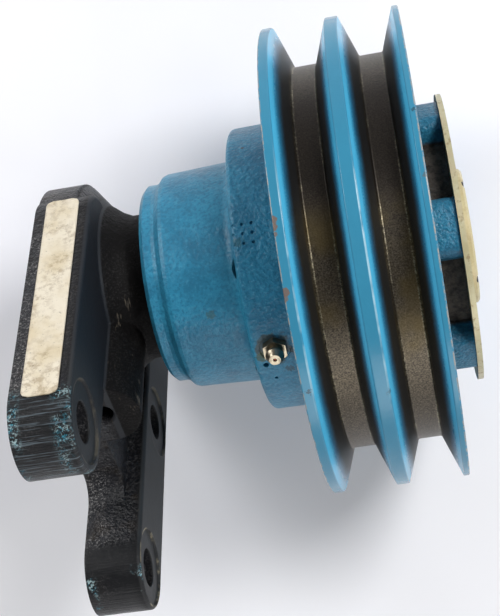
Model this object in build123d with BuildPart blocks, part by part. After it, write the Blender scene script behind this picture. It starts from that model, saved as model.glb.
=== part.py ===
"""Rear-air fan drive of a heavy-duty engine: a cast journal bracket, a two-groove V-belt
sheave that runs on it, and a spring-engaged, air-released clutch that drives the fan hub.

Frame: X along the shaft from the bracket's mounting face towards the fan, Z up, origin where
the shaft meets the mounting face. The bracket is turned about the shaft, so that its arms
reach down to one side and its label pad faces up to the other.

Millimetres throughout. A profile is a list of (x, radius) points turned about the shaft.
"""

from build123d import *
from math import cos, degrees, radians, sin
import os

os.makedirs("parts", exist_ok=True)

# ------------------------------------------------------------------ fits and clearances
RUNNING = 0.05  # radial clearance of a shaft or piston that turns or slides
SEAT = 0.02  # clearance of pieces that are located in one another
SCREW_CLEARANCE = 0.3  # radial, round a screw that passes through
AIR_GAP = 1.6  # between pieces of different bodies
LINING_PLAY = 0.05  # lining to sheave with the clutch engaged
STROKE = 1.5  # travel of the clutch piston
STROKE_RESERVE = 0.5  # left in front of the piston at the end of its travel
CUT_PAST = 1.0  # how far a cut reaches past the surface it opens

# ------------------------------------------------------------------ belt sheave
SHEAVE_RADIUS = 88.5
GROOVE_OPENING = 20.06
MIDDLE_LAND = 4.48  # rim between the two grooves
GROOVE_BOTTOM = 8.6
GROOVE_DEPTH = 15.7
REAR_FLANGE = 3.45  # width of the rim's outer lands
FRONT_FLANGE = 2.15
RIM_WALL = 8.8  # metal under the groove bottom
WEB_THICKNESS = 14.0
WEB_SETBACK = 5.75  # rear face of the rim to the web
WEB_OVERLAP = 6.0  # rear face of the front bearing to the rear face of the web
LAND_EDGE = 0.5  # rounding of the rim's lands
GROOVE_CORNER = 0.7  # rounding of the groove bottoms

# ------------------------------------------------------------------ bearings
BEARING_BORE = 17.5  # radii of the two main bearings
BEARING_OUTER = 36.0
BEARING_WIDTH = 17.0
BEARING_BALL = 5.5
BEARING_BALLS = 9
FAN_BEARING_BORE = 12.5
FAN_BEARING_OUTER = 26.0
FAN_BEARING_WIDTH = 15.0
FAN_BEARING_BALL = 3.95
FAN_BEARING_BALLS = 9
SNAP_ROOM = 2.5  # beyond a bearing, for its snap ring
LAND = 0.62  # half of the gap between a bearing's rings, over its ball's radius
CAGE_HALF_WIDTH = 1.22  # of a cage, over the ball's radius
CAGE_HALF_WALL = 0.3

# ------------------------------------------------------------------ bracket
PLATE_THICKNESS = 14.0
ARM_THICKNESS = 21.0
BOSS_RADIUS = 43.0
NECK_WALL = 8.0  # round the spindle
NECK_START = 30.0  # where the cone of the neck becomes a cylinder
NECK_END = 38.5
NECK_FLARE = ((4.0, 2.0), (9.0, 6.0))  # (behind the neck's start, over its radius)
ARM_HALF = 15.5  # half width of the long arm
LABEL_ARM_HALF = 16.9  # half width of the arm under the label
WEB_EDGE = 62.0  # shaft to the web's lower edge
LONG_ARM_OFFSET = 57.0  # shaft to the line of the long arm's holes
LONG_ARM_HOLES = (20.2, 90.2)  # distances down the long arm
LONG_ARM_START = -20.0
LABEL_ARM_OFFSET = 27.6
LABEL_ARM_HOLE = 88.4
MOUNT_HOLE = 7.15
SPOT_FACE = 14.2
SPOT_DEPTH = 1.0
SPOT_CUT = 8.0  # length cleared in front of a spot face
INNER_CORNER = 9.0
CASTING_EDGE = 1.6  # rounding of the arms' front edges

PORT_X = 16.5
PORT_BOSS = 14.5
PORT_REACH = 62.6
PORT_HOLE = 4.4
PORT_MOUTH = 5.3
PORT_DEPTH = 15.0
AIR_BORE = 2.5

LABEL_LENGTH = 95.0
LABEL_WIDTH = 12.4
LABEL_THICKNESS = 0.6
LABEL_START = -5.5
LABEL_CORNER = 2.5

# ------------------------------------------------------------------ spindle
SEAT_WALL = 2.5  # spindle in the bracket, over the bearing bore
SPINDLE_START = 5.0  # metal left behind the blind seat
SHOULDER_WALL = 6.5  # shoulder in front of the bracket, over the bearing bore
REAR_BEARING_X = 48.0
BEARING_SPAN = 44.0  # rear face to rear face of the main bearings
SPACER_WALL = 4.5
TAB_WASHER = 1.5
NUT_WALL = 8.5
NUT_LENGTH = 8.5
NUT_SLOTS = 4
NUT_SLOT = (5.0, 6.0)  # twice the depth, and the width, of a spanner slot
NUT_RUNOUT = 0.5  # end of the thread in front of the nut
NOSE_SPACER = 4.5
NOSE_ROOM = 2.0  # end of the nose to the pilot cap
RING_WIDTH = 1.2  # snap rings
RING_GRIP = 1.0  # depth of a snap ring's groove in the spindle
RING_STAND = 1.8  # height of a snap ring over its seat
HUB_RING_DEPTH = 1.5  # depth of the snap ring groove in the hub
HUB_RING_STAND = 2.2
FAN_RING_DEPTH = 1.2
HUB_RING_GAP = 9.0  # opening of a snap ring, across and along
FAN_RING_GAP = 7.0
NOSE_RING_GAP = (4.0, 6.0)

# ------------------------------------------------------------------ rear hub
LIP_X = 37.5
LIP_WALL = 2.2  # over the bearing's outside, as the two drum walls are
LIP_LENGTH = 4.5
LIP_EDGE = 1.5
DRUM_START = 47.0
DRUM_WALL_REAR = 5.4
DRUM_WALL_FRONT = 6.5
DRUM_STEP = 0.5  # height of the small steps at the ends of the drum's rear slope
RING_LENGTH = 24.5
RING_WALL = 9.1  # clamp circle to the ring's outside
RING_TAPER = 0.4
SPIGOT_WALL = 3.5
STEP_FILLET = 4.0
SHOULDER_STEP = 3.0  # of the bore between the bearing seats
SEAL_X = 40.0
SEAL_WIDTH = 7.5
SEAL_GAUGE = 1.0  # sheet of the seal's case
SEAL_WINDOW = 4.0  # spindle to the seal's case

# Small pits in the ring's rim
PIT_ROWS = 3
PIT_COLUMNS = 3
PIT_PITCH = 3.4
PIT_RADIUS = 0.6
PIT_X = 4.5  # behind the ring's rear face to the middle of the grid
PIT_ANGLE = 12.0
VENTS = ((4.1, -40.5, 1.0), (6.5, -48.2, 0.6))  # (in front of the ring, angle, radius)
VENT_DEPTH = 2.5

CLAMP_WALL = 0.7375  # metal between the spigot and the clamp screws
CLAMP_COUNT = 6
CLAMP_THREAD = 4.7625  # 3/8 in screws
CLAMP_DRILL = 3.97
CLAMP_HEAD = 7.1
CLAMP_HEAD_HEIGHT = 9.4
CLAMP_SOCKET = 3.97  # half across flats
CLAMP_SOCKET_DEPTH = 5.0
CLAMP_LENGTH = 38.1
DRILL_POINT = 0.6  # length of a drill's point over its radius
BREAKOUT = 4.0  # how far the clamp drill runs out behind the ring

FITTING_ANGLE = -33.2  # about the shaft, from the top
FITTING_SETBACK = 8.6  # rear face of the ring to the fitting
FITTING_THREAD = 3.17
FITTING_DEPTH = 5.5
FITTING_HEX = 7.94
FITTING_SPOT = 5.6
FITTING_SINK = 0.3  # of its seat under the ring's rear edge
HEX_HEIGHT = 2.8
TIP_HEIGHT = 7.4
TIP_PROFILE = ((-3.4, 2.4), (-2.8, 3.3), (-2.1, 3.3), (0.0, 2.05))  # (from the tip, radius)
TIP_STEM = 2.5
FITTING_BORE = 1.2
FITTING_MOUTH = 0.7
FITTING_LIP = 0.5  # length of the mouth
CHECK_BALL = 1.0
CHECK_BALL_SINK = 1.3
CHECK_WIRE = 0.18
CHECK_COIL = 0.8
CHECK_PITCH = 1.3
GREASE_HOLE = 1.5

# ------------------------------------------------------------------ fan hub and clutch
CORE_WALL = 0.5  # fan hub over the piston's boss
LOBE_COUNT = 6
LOBE_TURN = -2.5  # the lobes stand this far from the sheave's screws, in degrees
LOBE_WALL = 8.05  # bolt circle to the lobes' ends
LOBE_WIDTH = 21.0
LOBE_CORNER = 4.5
LOBE_FILLET = 3.0
TUBE_WALL = 5.0  # fan bearing's outside to the tube's
TUBE_OVERHANG = 2.5  # of the tube behind the fan bearing
BOLT_WALL = 8.55  # spring circle to the fan bolt circle
FAN_BOLT_TAP = 3.3
FAN_BOLT_CLEARANCE = 4.2
AIR_SEAL_RADIUS = 17.5
AIR_SEAL_WIDTH = 4.5
AIR_CHAMBER = 15.0
AIR_SHOULDER = 4.0  # bearing seat to the bore in front of it
PASSAGE = 0.7
PASSAGE_SETBACK = (0.75, 0.8)  # from the release ring, and from the air seal

PLATE_OVERLAP = 1.5  # of the plate over the lobes
PLATE_GAUGE = 2.0
PLATE_PLAY = 0.1
PILOT_RADIUS = 25.4
PILOT_HEIGHT = 3.3
PILOT_SPIGOT = 20.0
PILOT_EDGE = 0.8
SPIGOT_LENGTH = 3.0
CAP_GROOVE = (0.8, 1.9, 1.6)  # behind the spigot's end, width and depth of the seal's groove
CAP_GROOVE_PLAY = 0.1
CAP_SCREW_CIRCLE = 22.7
CAP_SCREWS = 4
CAP_SCREW_THREAD = 2.0
CAP_SCREW_PLAY = 0.2
CAP_SCREW_HEAD = 2.6
CAP_SCREW_HEAD_HEIGHT = 1.8
CAP_SCREW_SINK = 2.0
CAP_SCREW_HEAD_PLAY = 0.1
CAP_SCREW_SOCKET = (1.25, 1.2)  # half across flats, depth
CAP_SCREW_LENGTH = 11.0
CAP_SCREW_DRILL = 9.0

RELEASE_RING_WIDTH = 5.0
RELEASE_RING_WALL = 5.0
RELEASE_ROOM = 1.5  # air space between the release ring and the piston's lip
RELEASE_GROOVE = 1.0  # release ring's face to its seal's groove
PISTON_LIP = 4.0
PISTON_BOSS_WALL = 3.0  # pins to the boss's outside
PISTON_NECK = 3.0  # height of the disc over the boss, at the boss
PISTON_RIM_SLOPE = 1.0
RIM_CLEARANCE = 1.0  # piston to the sheave's rim
HEAD_CLEARANCE = 1.4  # piston to the clamp screws' heads
LINING_THICKNESS = 3.0
LINING_EDGE = 0.5
SEAL_CORD = 1.3  # section radius of the sealing rings
SEAL_PLAY = 0.1

SPRING_WALL = 4.9  # fan tube to the spring circle
SPRING_COUNT = 6
SPRING_RADIUS = 2.9
SPRING_WIRE = 0.65
SPRING_TURNS = 5
SPRING_POCKET = 3.8
POCKET_IN_PISTON = 2.0
POCKET_IN_HUB = 9.0
PIN_WALL = 9.0  # fan tube to the pin circle
PIN_COUNT = 3
PIN_RADIUS = 2.5
PIN_DEPTH = 8.0  # length of the drive pin in the hub
PIN_REACH = 10.0  # length of the drive pin in the piston

# ------------------------------------------------------------------ worked out: stations along X
REAR_BEARING_END = REAR_BEARING_X + BEARING_WIDTH
FRONT_BEARING_X = REAR_BEARING_X + BEARING_SPAN
FRONT_BEARING_END = FRONT_BEARING_X + BEARING_WIDTH
SPIGOT_END = FRONT_BEARING_END + SNAP_ROOM
WEB_X = FRONT_BEARING_X + WEB_OVERLAP
WEB_FRONT = WEB_X + WEB_THICKNESS
RING_X = WEB_X - RING_LENGTH  # rear face of the hub's ring
RIM_X = WEB_X - WEB_SETBACK  # rear face of the rim
GROOVE_PITCH = GROOVE_OPENING + MIDDLE_LAND
RIM_WIDTH = REAR_FLANGE + GROOVE_PITCH + GROOVE_OPENING + FRONT_FLANGE
FITTING_X = RING_X + FITTING_SETBACK
NUT_X = FRONT_BEARING_END + TAB_WASHER
NOSE_X = NUT_X + NUT_LENGTH + NUT_RUNOUT  # step down to the nose
FAN_BEARING_X = NOSE_X + NOSE_SPACER
FAN_BEARING_END = FAN_BEARING_X + FAN_BEARING_WIDTH
AIR_SEAL_X = FAN_BEARING_END + SNAP_ROOM
NOSE_END = AIR_SEAL_X + AIR_SEAL_WIDTH
FAN_FACE = NOSE_END + NOSE_ROOM + SPIGOT_LENGTH
PLATE_FRONT = FAN_FACE + PLATE_GAUGE
PILOT_FRONT = PLATE_FRONT + PILOT_HEIGHT
LINING_X = WEB_FRONT + LINING_PLAY
PISTON_RIM_BACK = LINING_X + LINING_THICKNESS
PISTON_BACK = WEB_FRONT + CLAMP_HEAD_HEIGHT + AIR_GAP
RELEASE_RING_X = FAN_BEARING_X
RELEASE_RING_END = RELEASE_RING_X + RELEASE_RING_WIDTH
PISTON_LIP_X = RELEASE_RING_END + RELEASE_ROOM
PISTON_FRONT = PISTON_LIP_X + PISTON_LIP
FAN_TUBE_X = FAN_BEARING_X - TUBE_OVERHANG
FAN_BODY_X = PISTON_FRONT + STROKE + STROKE_RESERVE

# ------------------------------------------------------------------ worked out: radii
GROOVE_ROOT = SHEAVE_RADIUS - GROOVE_DEPTH
RIM_INNER = GROOVE_ROOT - RIM_WALL
SPINDLE_SEAT = BEARING_BORE + SEAT_WALL
SPINDLE_SHOULDER = BEARING_BORE + SHOULDER_WALL
SPACER_RADIUS = BEARING_BORE + SPACER_WALL
NUT_RADIUS = BEARING_BORE + NUT_WALL
NECK_RADIUS = SPINDLE_SEAT + NECK_WALL
LIP_RADIUS = BEARING_OUTER + LIP_WALL
DRUM_REAR = BEARING_OUTER + DRUM_WALL_REAR
DRUM_FRONT = BEARING_OUTER + DRUM_WALL_FRONT
SPIGOT = BEARING_OUTER + SPIGOT_WALL
SHOULDER_RADIUS = BEARING_OUTER - SHOULDER_STEP
CLAMP_CIRCLE = SPIGOT + CLAMP_THREAD + CLAMP_WALL
RING_REAR = CLAMP_CIRCLE + RING_WALL
RING_FRONT = RING_REAR + RING_TAPER
FITTING_BASE = RING_REAR - FITTING_SINK
TIP = FITTING_BASE + TIP_HEIGHT
FAN_TUBE = FAN_BEARING_OUTER + TUBE_WALL
RELEASE_RING_RADIUS = FAN_TUBE + RELEASE_RING_WALL
SPRING_CIRCLE = FAN_TUBE + SPRING_WALL
PIN_CIRCLE = FAN_TUBE + PIN_WALL
PISTON_HUB = PIN_CIRCLE + PISTON_BOSS_WALL
PISTON_RIM = RIM_INNER - RIM_CLEARANCE
PISTON_RIM_INNER = CLAMP_CIRCLE + CLAMP_HEAD + HEAD_CLEARANCE
LINING_INNER = PISTON_RIM_INNER + LINING_EDGE
LINING_OUTER = PISTON_RIM - LINING_EDGE
FAN_CORE = PISTON_HUB + CORE_WALL
FAN_BOLT_CIRCLE = SPRING_CIRCLE + BOLT_WALL
LOBE_OUTER = FAN_BOLT_CIRCLE + LOBE_WALL
PLATE_RADIUS = LOBE_OUTER + PLATE_OVERLAP

DOWN = Vector(0, -1, 1).normalized()  # the way the arms reach


# ------------------------------------------------------------------ helpers
def round_the_shaft(angle: float) -> Vector:
    """Direction square to the shaft; 0 degrees is straight up, and angles turn towards +Y."""
    return Vector(0, sin(radians(angle)), cos(radians(angle)))


def across_shaft(x: float) -> Plane:
    """Plane square to the shaft: local x is the row's Y, local y is Z, extrudes go to +X."""
    return Plane(origin=(x, 0, 0), x_dir=(0, 1, 0), z_dir=(1, 0, 0))


def bracket_plane(x: float) -> Plane:
    """Plane square to the shaft, with local y down the arms and local x towards the label."""
    return Plane(origin=(x, 0, 0), x_dir=(0, 1, 1), z_dir=(1, 0, 0))


def radial_plane(x: float, direction: Vector) -> Plane:
    """Plane through the shaft with local x along a radius and local y along the shaft."""
    normal = direction.cross(Vector(1, 0, 0))
    return Plane(origin=(x, 0, 0), x_dir=direction, z_dir=normal)


def turn(points: list, plane: Plane = Plane.XY, axis: Axis = Axis.X, mode: Mode = Mode.ADD) -> None:
    """Revolve a closed profile into the part that is being built."""
    with BuildSketch(plane) as profile:
        with BuildLine():
            Polyline(*points, close=True)
        make_face()
    revolve(profile.sketch, axis=axis, mode=mode)


def ring(x: float, length: float, inner: float, outer: float, mode: Mode = Mode.ADD) -> None:
    """A plain ring about the shaft."""
    turn([(x, inner), (x + length, inner), (x + length, outer), (x, outer)], mode=mode)


def round_bar(plane: Plane, places: list, radius: float, length: float, mode: Mode = Mode.ADD) -> None:
    """Cylinders of one size that start on a plane."""
    with BuildSketch(plane) as section:
        with Locations(*places):
            Circle(radius)
    extrude(section.sketch, amount=length, mode=mode)


def blend_round(height: float, circles: list) -> None:
    """Extrude the outline that wraps a few circles of the bracket, from its mounting face."""
    with BuildSketch(bracket_plane(0)) as outline:
        with BuildLine():
            for across, along, radius in circles:
                CenterArc((across, along), radius, 0, 360)
        make_hull()
    extrude(outline.sketch, amount=height)


def circle_places(radius: float, count: int, start: float) -> list:
    """Places on a circle in a plane square to the shaft; 90 degrees is straight up."""
    angles = [radians(start + 360 * index / count) for index in range(count)]
    return [(radius * cos(angle), radius * sin(angle)) for angle in angles]


def raceway(x: float, width: float, bore: float, outer: float, ball: float) -> None:
    """Cut the ball groove of a bearing into the ring that is being built."""
    pitch = (bore + outer) / 2
    with BuildSketch(Plane.XY) as groove:
        with Locations((x + width / 2, pitch)):
            Circle(ball + RUNNING)
    revolve(groove.sketch, axis=Axis.X, mode=Mode.SUBTRACT)


def inner_ring(x: float, width: float, bore: float, outer: float, ball: float) -> None:
    """Inner ring of a deep-groove bearing."""
    pitch = (bore + outer) / 2
    ring(x, width, bore, pitch - LAND * ball)
    raceway(x, width, bore, outer, ball)


def outer_ring(x: float, width: float, bore: float, outer: float, ball: float) -> None:
    """Outer ring of a deep-groove bearing."""
    pitch = (bore + outer) / 2
    ring(x, width, pitch + LAND * ball, outer)
    raceway(x, width, bore, outer, ball)


def balls(x: float, width: float, bore: float, outer: float, ball: float, count: int) -> None:
    """The balls of a bearing, on its pitch circle."""
    pitch = (bore + outer) / 2
    for across, up in circle_places(pitch, count, 90):
        with Locations((x + width / 2, across, up)):
            Sphere(ball)


def cage(x: float, width: float, bore: float, outer: float, ball: float, count: int) -> None:
    """The cage that spaces the balls."""
    pitch = (bore + outer) / 2
    half_width = ball * CAGE_HALF_WIDTH
    half_wall = ball * CAGE_HALF_WALL
    ring(x + width / 2 - half_width, 2 * half_width, pitch - half_wall, pitch + half_wall)
    for across, up in circle_places(pitch, count, 90):
        with Locations((x + width / 2, across, up)):
            Sphere(ball + 3 * RUNNING, mode=Mode.SUBTRACT)


def finish(piece: BuildPart, name: str) -> None:
    """Label a finished piece and write it."""
    piece.part.label = name
    export_step(piece.part, f"parts/{name}.step")


# ------------------------------------------------------------------ journal bracket
with BuildPart() as bracket_casting:
    blend_round(PLATE_THICKNESS, [
        (0, 0, BOSS_RADIUS), (-LONG_ARM_OFFSET, LONG_ARM_START, ARM_HALF),
        (-LONG_ARM_OFFSET, WEB_EDGE - ARM_HALF, ARM_HALF),
        (LABEL_ARM_OFFSET, WEB_EDGE - LABEL_ARM_HALF, LABEL_ARM_HALF),
    ])
    blend_round(ARM_THICKNESS, [
        (-LONG_ARM_OFFSET, LONG_ARM_START, ARM_HALF),
        (-LONG_ARM_OFFSET, LONG_ARM_HOLES[1], ARM_HALF),
    ])
    blend_round(ARM_THICKNESS, [
        (LABEL_ARM_OFFSET, 0, LABEL_ARM_HALF), (LABEL_ARM_OFFSET, LABEL_ARM_HOLE, LABEL_ARM_HALF),
    ])
    web_line = bracket_plane(0).from_local_coords((0, WEB_EDGE, 0))
    corner_edges = bracket_casting.edges().filter_by(Axis.X).filter_by(
        lambda edge: abs((edge.center() - web_line).dot(DOWN)) < 0.1 and edge.length < ARM_THICKNESS
    )
    fillet(corner_edges, INNER_CORNER)
    arm_fronts = bracket_casting.faces().filter_by(
        lambda face: abs(face.center().X - ARM_THICKNESS) < 0.01
    )
    fillet(arm_fronts.edges(), CASTING_EDGE)
    flare = [(NECK_START - back, NECK_RADIUS + over) for back, over in reversed(NECK_FLARE)]
    turn([
        (0, 0), (0, BOSS_RADIUS), (PLATE_THICKNESS + 1, BOSS_RADIUS - 1), *flare,
        (NECK_START, NECK_RADIUS), (NECK_END, NECK_RADIUS), (NECK_END, 0),
    ])
    round_bar(Plane(origin=(PORT_X, 0, 0), z_dir=DOWN), [(0, 0)], PORT_BOSS, PORT_REACH)
    split(bisect_by=Plane.YZ, keep=Keep.TOP)
    # Bolt holes with their spot faces
    hole_places = [(-LONG_ARM_OFFSET, along) for along in LONG_ARM_HOLES]
    hole_places.append((LABEL_ARM_OFFSET, LABEL_ARM_HOLE))
    round_bar(bracket_plane(0), hole_places, MOUNT_HOLE, ARM_THICKNESS, Mode.SUBTRACT)
    round_bar(
        bracket_plane(ARM_THICKNESS - SPOT_DEPTH), hole_places, SPOT_FACE, SPOT_CUT, Mode.SUBTRACT
    )
    # Spindle seat, air port and its passage
    ring(SPINDLE_START, NECK_END, 0, SPINDLE_SEAT, Mode.SUBTRACT)
    port_floor = PORT_REACH - PORT_DEPTH
    turn(
        [(0, 0), (PORT_REACH, 0), (PORT_REACH, PORT_MOUTH), (PORT_REACH - 1, PORT_HOLE),
         (port_floor, PORT_HOLE), (port_floor - 2, AIR_BORE), (0, AIR_BORE)],
        plane=radial_plane(PORT_X, DOWN),
        axis=Axis((PORT_X, 0, 0), DOWN),
        mode=Mode.SUBTRACT,
    )
finish(bracket_casting, "bracket_casting")

with BuildPart() as label_plate:
    label_height = LABEL_ARM_OFFSET + LABEL_ARM_HALF
    label_face = Plane(
        origin=(ARM_THICKNESS / 2, 0, 0), x_dir=DOWN, z_dir=(0, 1, 1)
    ).offset(label_height)
    with BuildSketch(label_face):
        with Locations((LABEL_START + LABEL_LENGTH / 2, 0)):
            RectangleRounded(LABEL_LENGTH, LABEL_WIDTH, LABEL_CORNER)
    extrude(amount=LABEL_THICKNESS)
finish(label_plate, "label_plate")

# ------------------------------------------------------------------ spindle and what it carries
with BuildPart() as spindle:
    turn([
        (SPINDLE_START, 0), (SPINDLE_START, SPINDLE_SEAT), (NECK_END, SPINDLE_SEAT),
        (NECK_END, SPINDLE_SHOULDER), (REAR_BEARING_X, SPINDLE_SHOULDER),
        (REAR_BEARING_X, BEARING_BORE), (NOSE_X, BEARING_BORE), (NOSE_X, FAN_BEARING_BORE),
        (NOSE_END - 1, FAN_BEARING_BORE), (NOSE_END, FAN_BEARING_BORE - 1), (NOSE_END, 0),
    ])
    ring(PORT_X - AIR_BORE, NOSE_END, 0, AIR_BORE, Mode.SUBTRACT)
    ring(
        FAN_BEARING_END, RING_WIDTH, FAN_BEARING_BORE - RING_GRIP, FAN_BEARING_BORE + CUT_PAST,
        Mode.SUBTRACT,
    )
    round_bar(
        Plane(origin=(PORT_X, 0, 0), z_dir=DOWN),
        [(0, 0)], AIR_BORE, SPINDLE_SEAT + CUT_PAST, Mode.SUBTRACT,
    )
finish(spindle, "spindle")

MAIN = (BEARING_WIDTH, BEARING_BORE, BEARING_OUTER, BEARING_BALL)
FAN = (FAN_BEARING_WIDTH, FAN_BEARING_BORE, FAN_BEARING_OUTER, FAN_BEARING_BALL)
BEARINGS = (
    ("rear", REAR_BEARING_X, MAIN, BEARING_BALLS),
    ("front", FRONT_BEARING_X, MAIN, BEARING_BALLS),
    ("fan", FAN_BEARING_X, FAN, FAN_BEARING_BALLS),
)
for place, start, sizes, ball_count in BEARINGS:
    with BuildPart() as bearing_inner:
        inner_ring(start, *sizes)
    finish(bearing_inner, f"{place}_bearing_inner")
    with BuildPart() as bearing_outer:
        outer_ring(start, *sizes)
    finish(bearing_outer, f"{place}_bearing_outer")
    with BuildPart() as bearing_balls:
        balls(start, *sizes, ball_count)
    finish(bearing_balls, f"{place}_bearing_balls")
    with BuildPart() as bearing_cage:
        cage(start, *sizes, ball_count)
    finish(bearing_cage, f"{place}_bearing_cage")

with BuildPart() as bearing_spacer:
    ring(REAR_BEARING_END, BEARING_SPAN - BEARING_WIDTH, BEARING_BORE, SPACER_RADIUS)
finish(bearing_spacer, "bearing_spacer")

with BuildPart() as tab_washer:
    ring(FRONT_BEARING_END, TAB_WASHER, BEARING_BORE, NUT_RADIUS - 2)
finish(tab_washer, "tab_washer")

with BuildPart() as spindle_nut:
    ring(NUT_X, NUT_LENGTH, BEARING_BORE, NUT_RADIUS)
    with BuildSketch(across_shaft(NUT_X)) as nut_slots:
        with PolarLocations(NUT_RADIUS, NUT_SLOTS):
            Rectangle(*NUT_SLOT)
    extrude(amount=NUT_LENGTH, mode=Mode.SUBTRACT)
finish(spindle_nut, "spindle_nut")

with BuildPart() as nose_spacer:
    ring(NOSE_X, FAN_BEARING_X - NOSE_X, FAN_BEARING_BORE, BEARING_BORE - 1)
finish(nose_spacer, "nose_spacer")

with BuildPart() as nose_snap_ring:
    ring(
        FAN_BEARING_END, RING_WIDTH, FAN_BEARING_BORE - RING_GRIP + SEAT,
        FAN_BEARING_BORE + RING_STAND,
    )
    with BuildSketch(across_shaft(FAN_BEARING_END)):
        with Locations((0, -FAN_BEARING_BORE)):
            Rectangle(*NOSE_RING_GAP)
    extrude(amount=RING_WIDTH, mode=Mode.SUBTRACT)
finish(nose_snap_ring, "nose_snap_ring")

# ------------------------------------------------------------------ rear hub and its seal
FITTING_DIRECTION = round_the_shaft(FITTING_ANGLE)
CLAMP_PLACES = circle_places(CLAMP_CIRCLE, CLAMP_COUNT, 30)

with BuildPart() as hub:
    turn([
        (LIP_X, BEARING_OUTER), (LIP_X, LIP_RADIUS - LIP_EDGE), (LIP_X + LIP_EDGE, LIP_RADIUS),
        (LIP_X + LIP_LENGTH, LIP_RADIUS),
        (LIP_X + LIP_LENGTH + LIP_EDGE, LIP_RADIUS + DRUM_STEP),
        (DRUM_START - LIP_EDGE, DRUM_REAR - DRUM_STEP), (DRUM_START, DRUM_REAR),
        (RING_X, DRUM_FRONT), (RING_X, RING_REAR), (WEB_X, RING_FRONT), (WEB_X, SPIGOT),
        (SPIGOT_END, SPIGOT), (SPIGOT_END, BEARING_OUTER), (FRONT_BEARING_X, BEARING_OUTER),
        (FRONT_BEARING_X, SHOULDER_RADIUS), (REAR_BEARING_END, SHOULDER_RADIUS),
        (REAR_BEARING_END, BEARING_OUTER),
    ])
    step_edges = hub.edges().filter_by(GeomType.CIRCLE).filter_by(
        lambda edge: abs(edge.center().X - RING_X) < 0.01
    ).sort_by(lambda edge: edge.radius)
    fillet(step_edges[0], STEP_FILLET)
    ring_edge = hub.edges().filter_by(GeomType.CIRCLE).filter_by(
        lambda edge: abs(edge.center().X - RING_X) < 0.01
    ).sort_by(lambda edge: edge.radius)[-1]
    fillet(ring_edge, STEP_FILLET / 2)
    # Clamp screw holes, drilled through and out behind the ring
    drill_end = RING_X - BREAKOUT + DRILL_POINT * CLAMP_DRILL
    round_bar(across_shaft(drill_end), CLAMP_PLACES, CLAMP_DRILL, WEB_X - drill_end, Mode.SUBTRACT)
    for across, up in CLAMP_PLACES:
        turn(
            [(0, 0), (drill_end - RING_X + BREAKOUT, 0), (0, CLAMP_DRILL)],
            plane=Plane(origin=(drill_end, across, up), x_dir=(-1, 0, 0), z_dir=(0, 0, 1)),
            axis=Axis((drill_end, across, up), (-1, 0, 0)),
            mode=Mode.SUBTRACT,
        )
    round_bar(
        across_shaft(WEB_FRONT - CLAMP_LENGTH - SEAT), CLAMP_PLACES, CLAMP_THREAD + SEAT,
        CLAMP_LENGTH, Mode.SUBTRACT,
    )
    ring(
        FRONT_BEARING_END, RING_WIDTH + SEAT, BEARING_OUTER - CUT_PAST,
        BEARING_OUTER + HUB_RING_DEPTH, Mode.SUBTRACT,
    )
    # Grease fitting hole, down to the space between the bearings
    fitting_plane = Plane(origin=(FITTING_X, 0, 0), z_dir=FITTING_DIRECTION)
    round_bar(
        fitting_plane.offset(FITTING_BASE - FITTING_DEPTH - CUT_PAST), [(0, 0)],
        FITTING_THREAD + SEAT, FITTING_DEPTH + 2 * CUT_PAST, Mode.SUBTRACT,
    )
    round_bar(fitting_plane, [(0, 0)], GREASE_HOLE, FITTING_BASE, Mode.SUBTRACT)
    round_bar(
        fitting_plane.offset(FITTING_BASE), [(0, 0)], FITTING_SPOT, FITTING_SPOT, Mode.SUBTRACT
    )
    # Pits and vents in the ring's rim
    for row in range(PIT_ROWS):
        pit_angle = PIT_ANGLE + degrees((row - (PIT_ROWS - 1) / 2) * PIT_PITCH / RING_REAR)
        for column in range(PIT_COLUMNS):
            pit_x = RING_X + PIT_X + (column - (PIT_COLUMNS - 1) / 2) * PIT_PITCH
            with Locations(Vector(pit_x, 0, 0) + round_the_shaft(pit_angle) * RING_REAR):
                Sphere(PIT_RADIUS, mode=Mode.SUBTRACT)
    for setback, vent_angle, vent_radius in VENTS:
        vent_plane = Plane(origin=(RING_X + setback, 0, 0), z_dir=round_the_shaft(vent_angle))
        round_bar(
            vent_plane.offset(RING_REAR - VENT_DEPTH), [(0, 0)], vent_radius,
            VENT_DEPTH + CUT_PAST, Mode.SUBTRACT,
        )
finish(hub, "hub")

with BuildPart() as hub_snap_ring:
    ring(
        FRONT_BEARING_END, RING_WIDTH, BEARING_OUTER - HUB_RING_STAND,
        BEARING_OUTER + HUB_RING_DEPTH - SEAT,
    )
    with BuildSketch(across_shaft(FRONT_BEARING_END)):
        with Locations((0, -BEARING_OUTER)):
            Rectangle(HUB_RING_GAP, HUB_RING_GAP)
    extrude(amount=RING_WIDTH, mode=Mode.SUBTRACT)
finish(hub_snap_ring, "hub_snap_ring")

with BuildPart() as rear_seal_case:
    seal_end = SEAL_X + SEAL_WIDTH
    case_inner = BEARING_OUTER - SEAL_GAUGE
    seal_floor = SEAL_X + SEAL_GAUGE
    turn([
        (SEAL_X, BEARING_OUTER), (SEAL_X, SPINDLE_SHOULDER + SEAL_WINDOW),
        (seal_floor, SPINDLE_SHOULDER + SEAL_WINDOW), (seal_floor, case_inner),
        (seal_end, case_inner), (seal_end, BEARING_OUTER),
    ])
finish(rear_seal_case, "rear_seal_case")

with BuildPart() as rear_seal_lip:
    lip_radius = SPINDLE_SHOULDER + RUNNING
    turn([
        (seal_floor, case_inner), (seal_floor, lip_radius), (seal_floor + 1.5, lip_radius),
        (seal_floor + 1.5, lip_radius + 4), (seal_floor + 3.5, lip_radius),
        (seal_end - 1, lip_radius + 2), (seal_end - 1, lip_radius + 4),
        (seal_floor + 3, lip_radius + 6), (seal_floor + 3, case_inner),
    ])
finish(rear_seal_lip, "rear_seal_lip")

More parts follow.
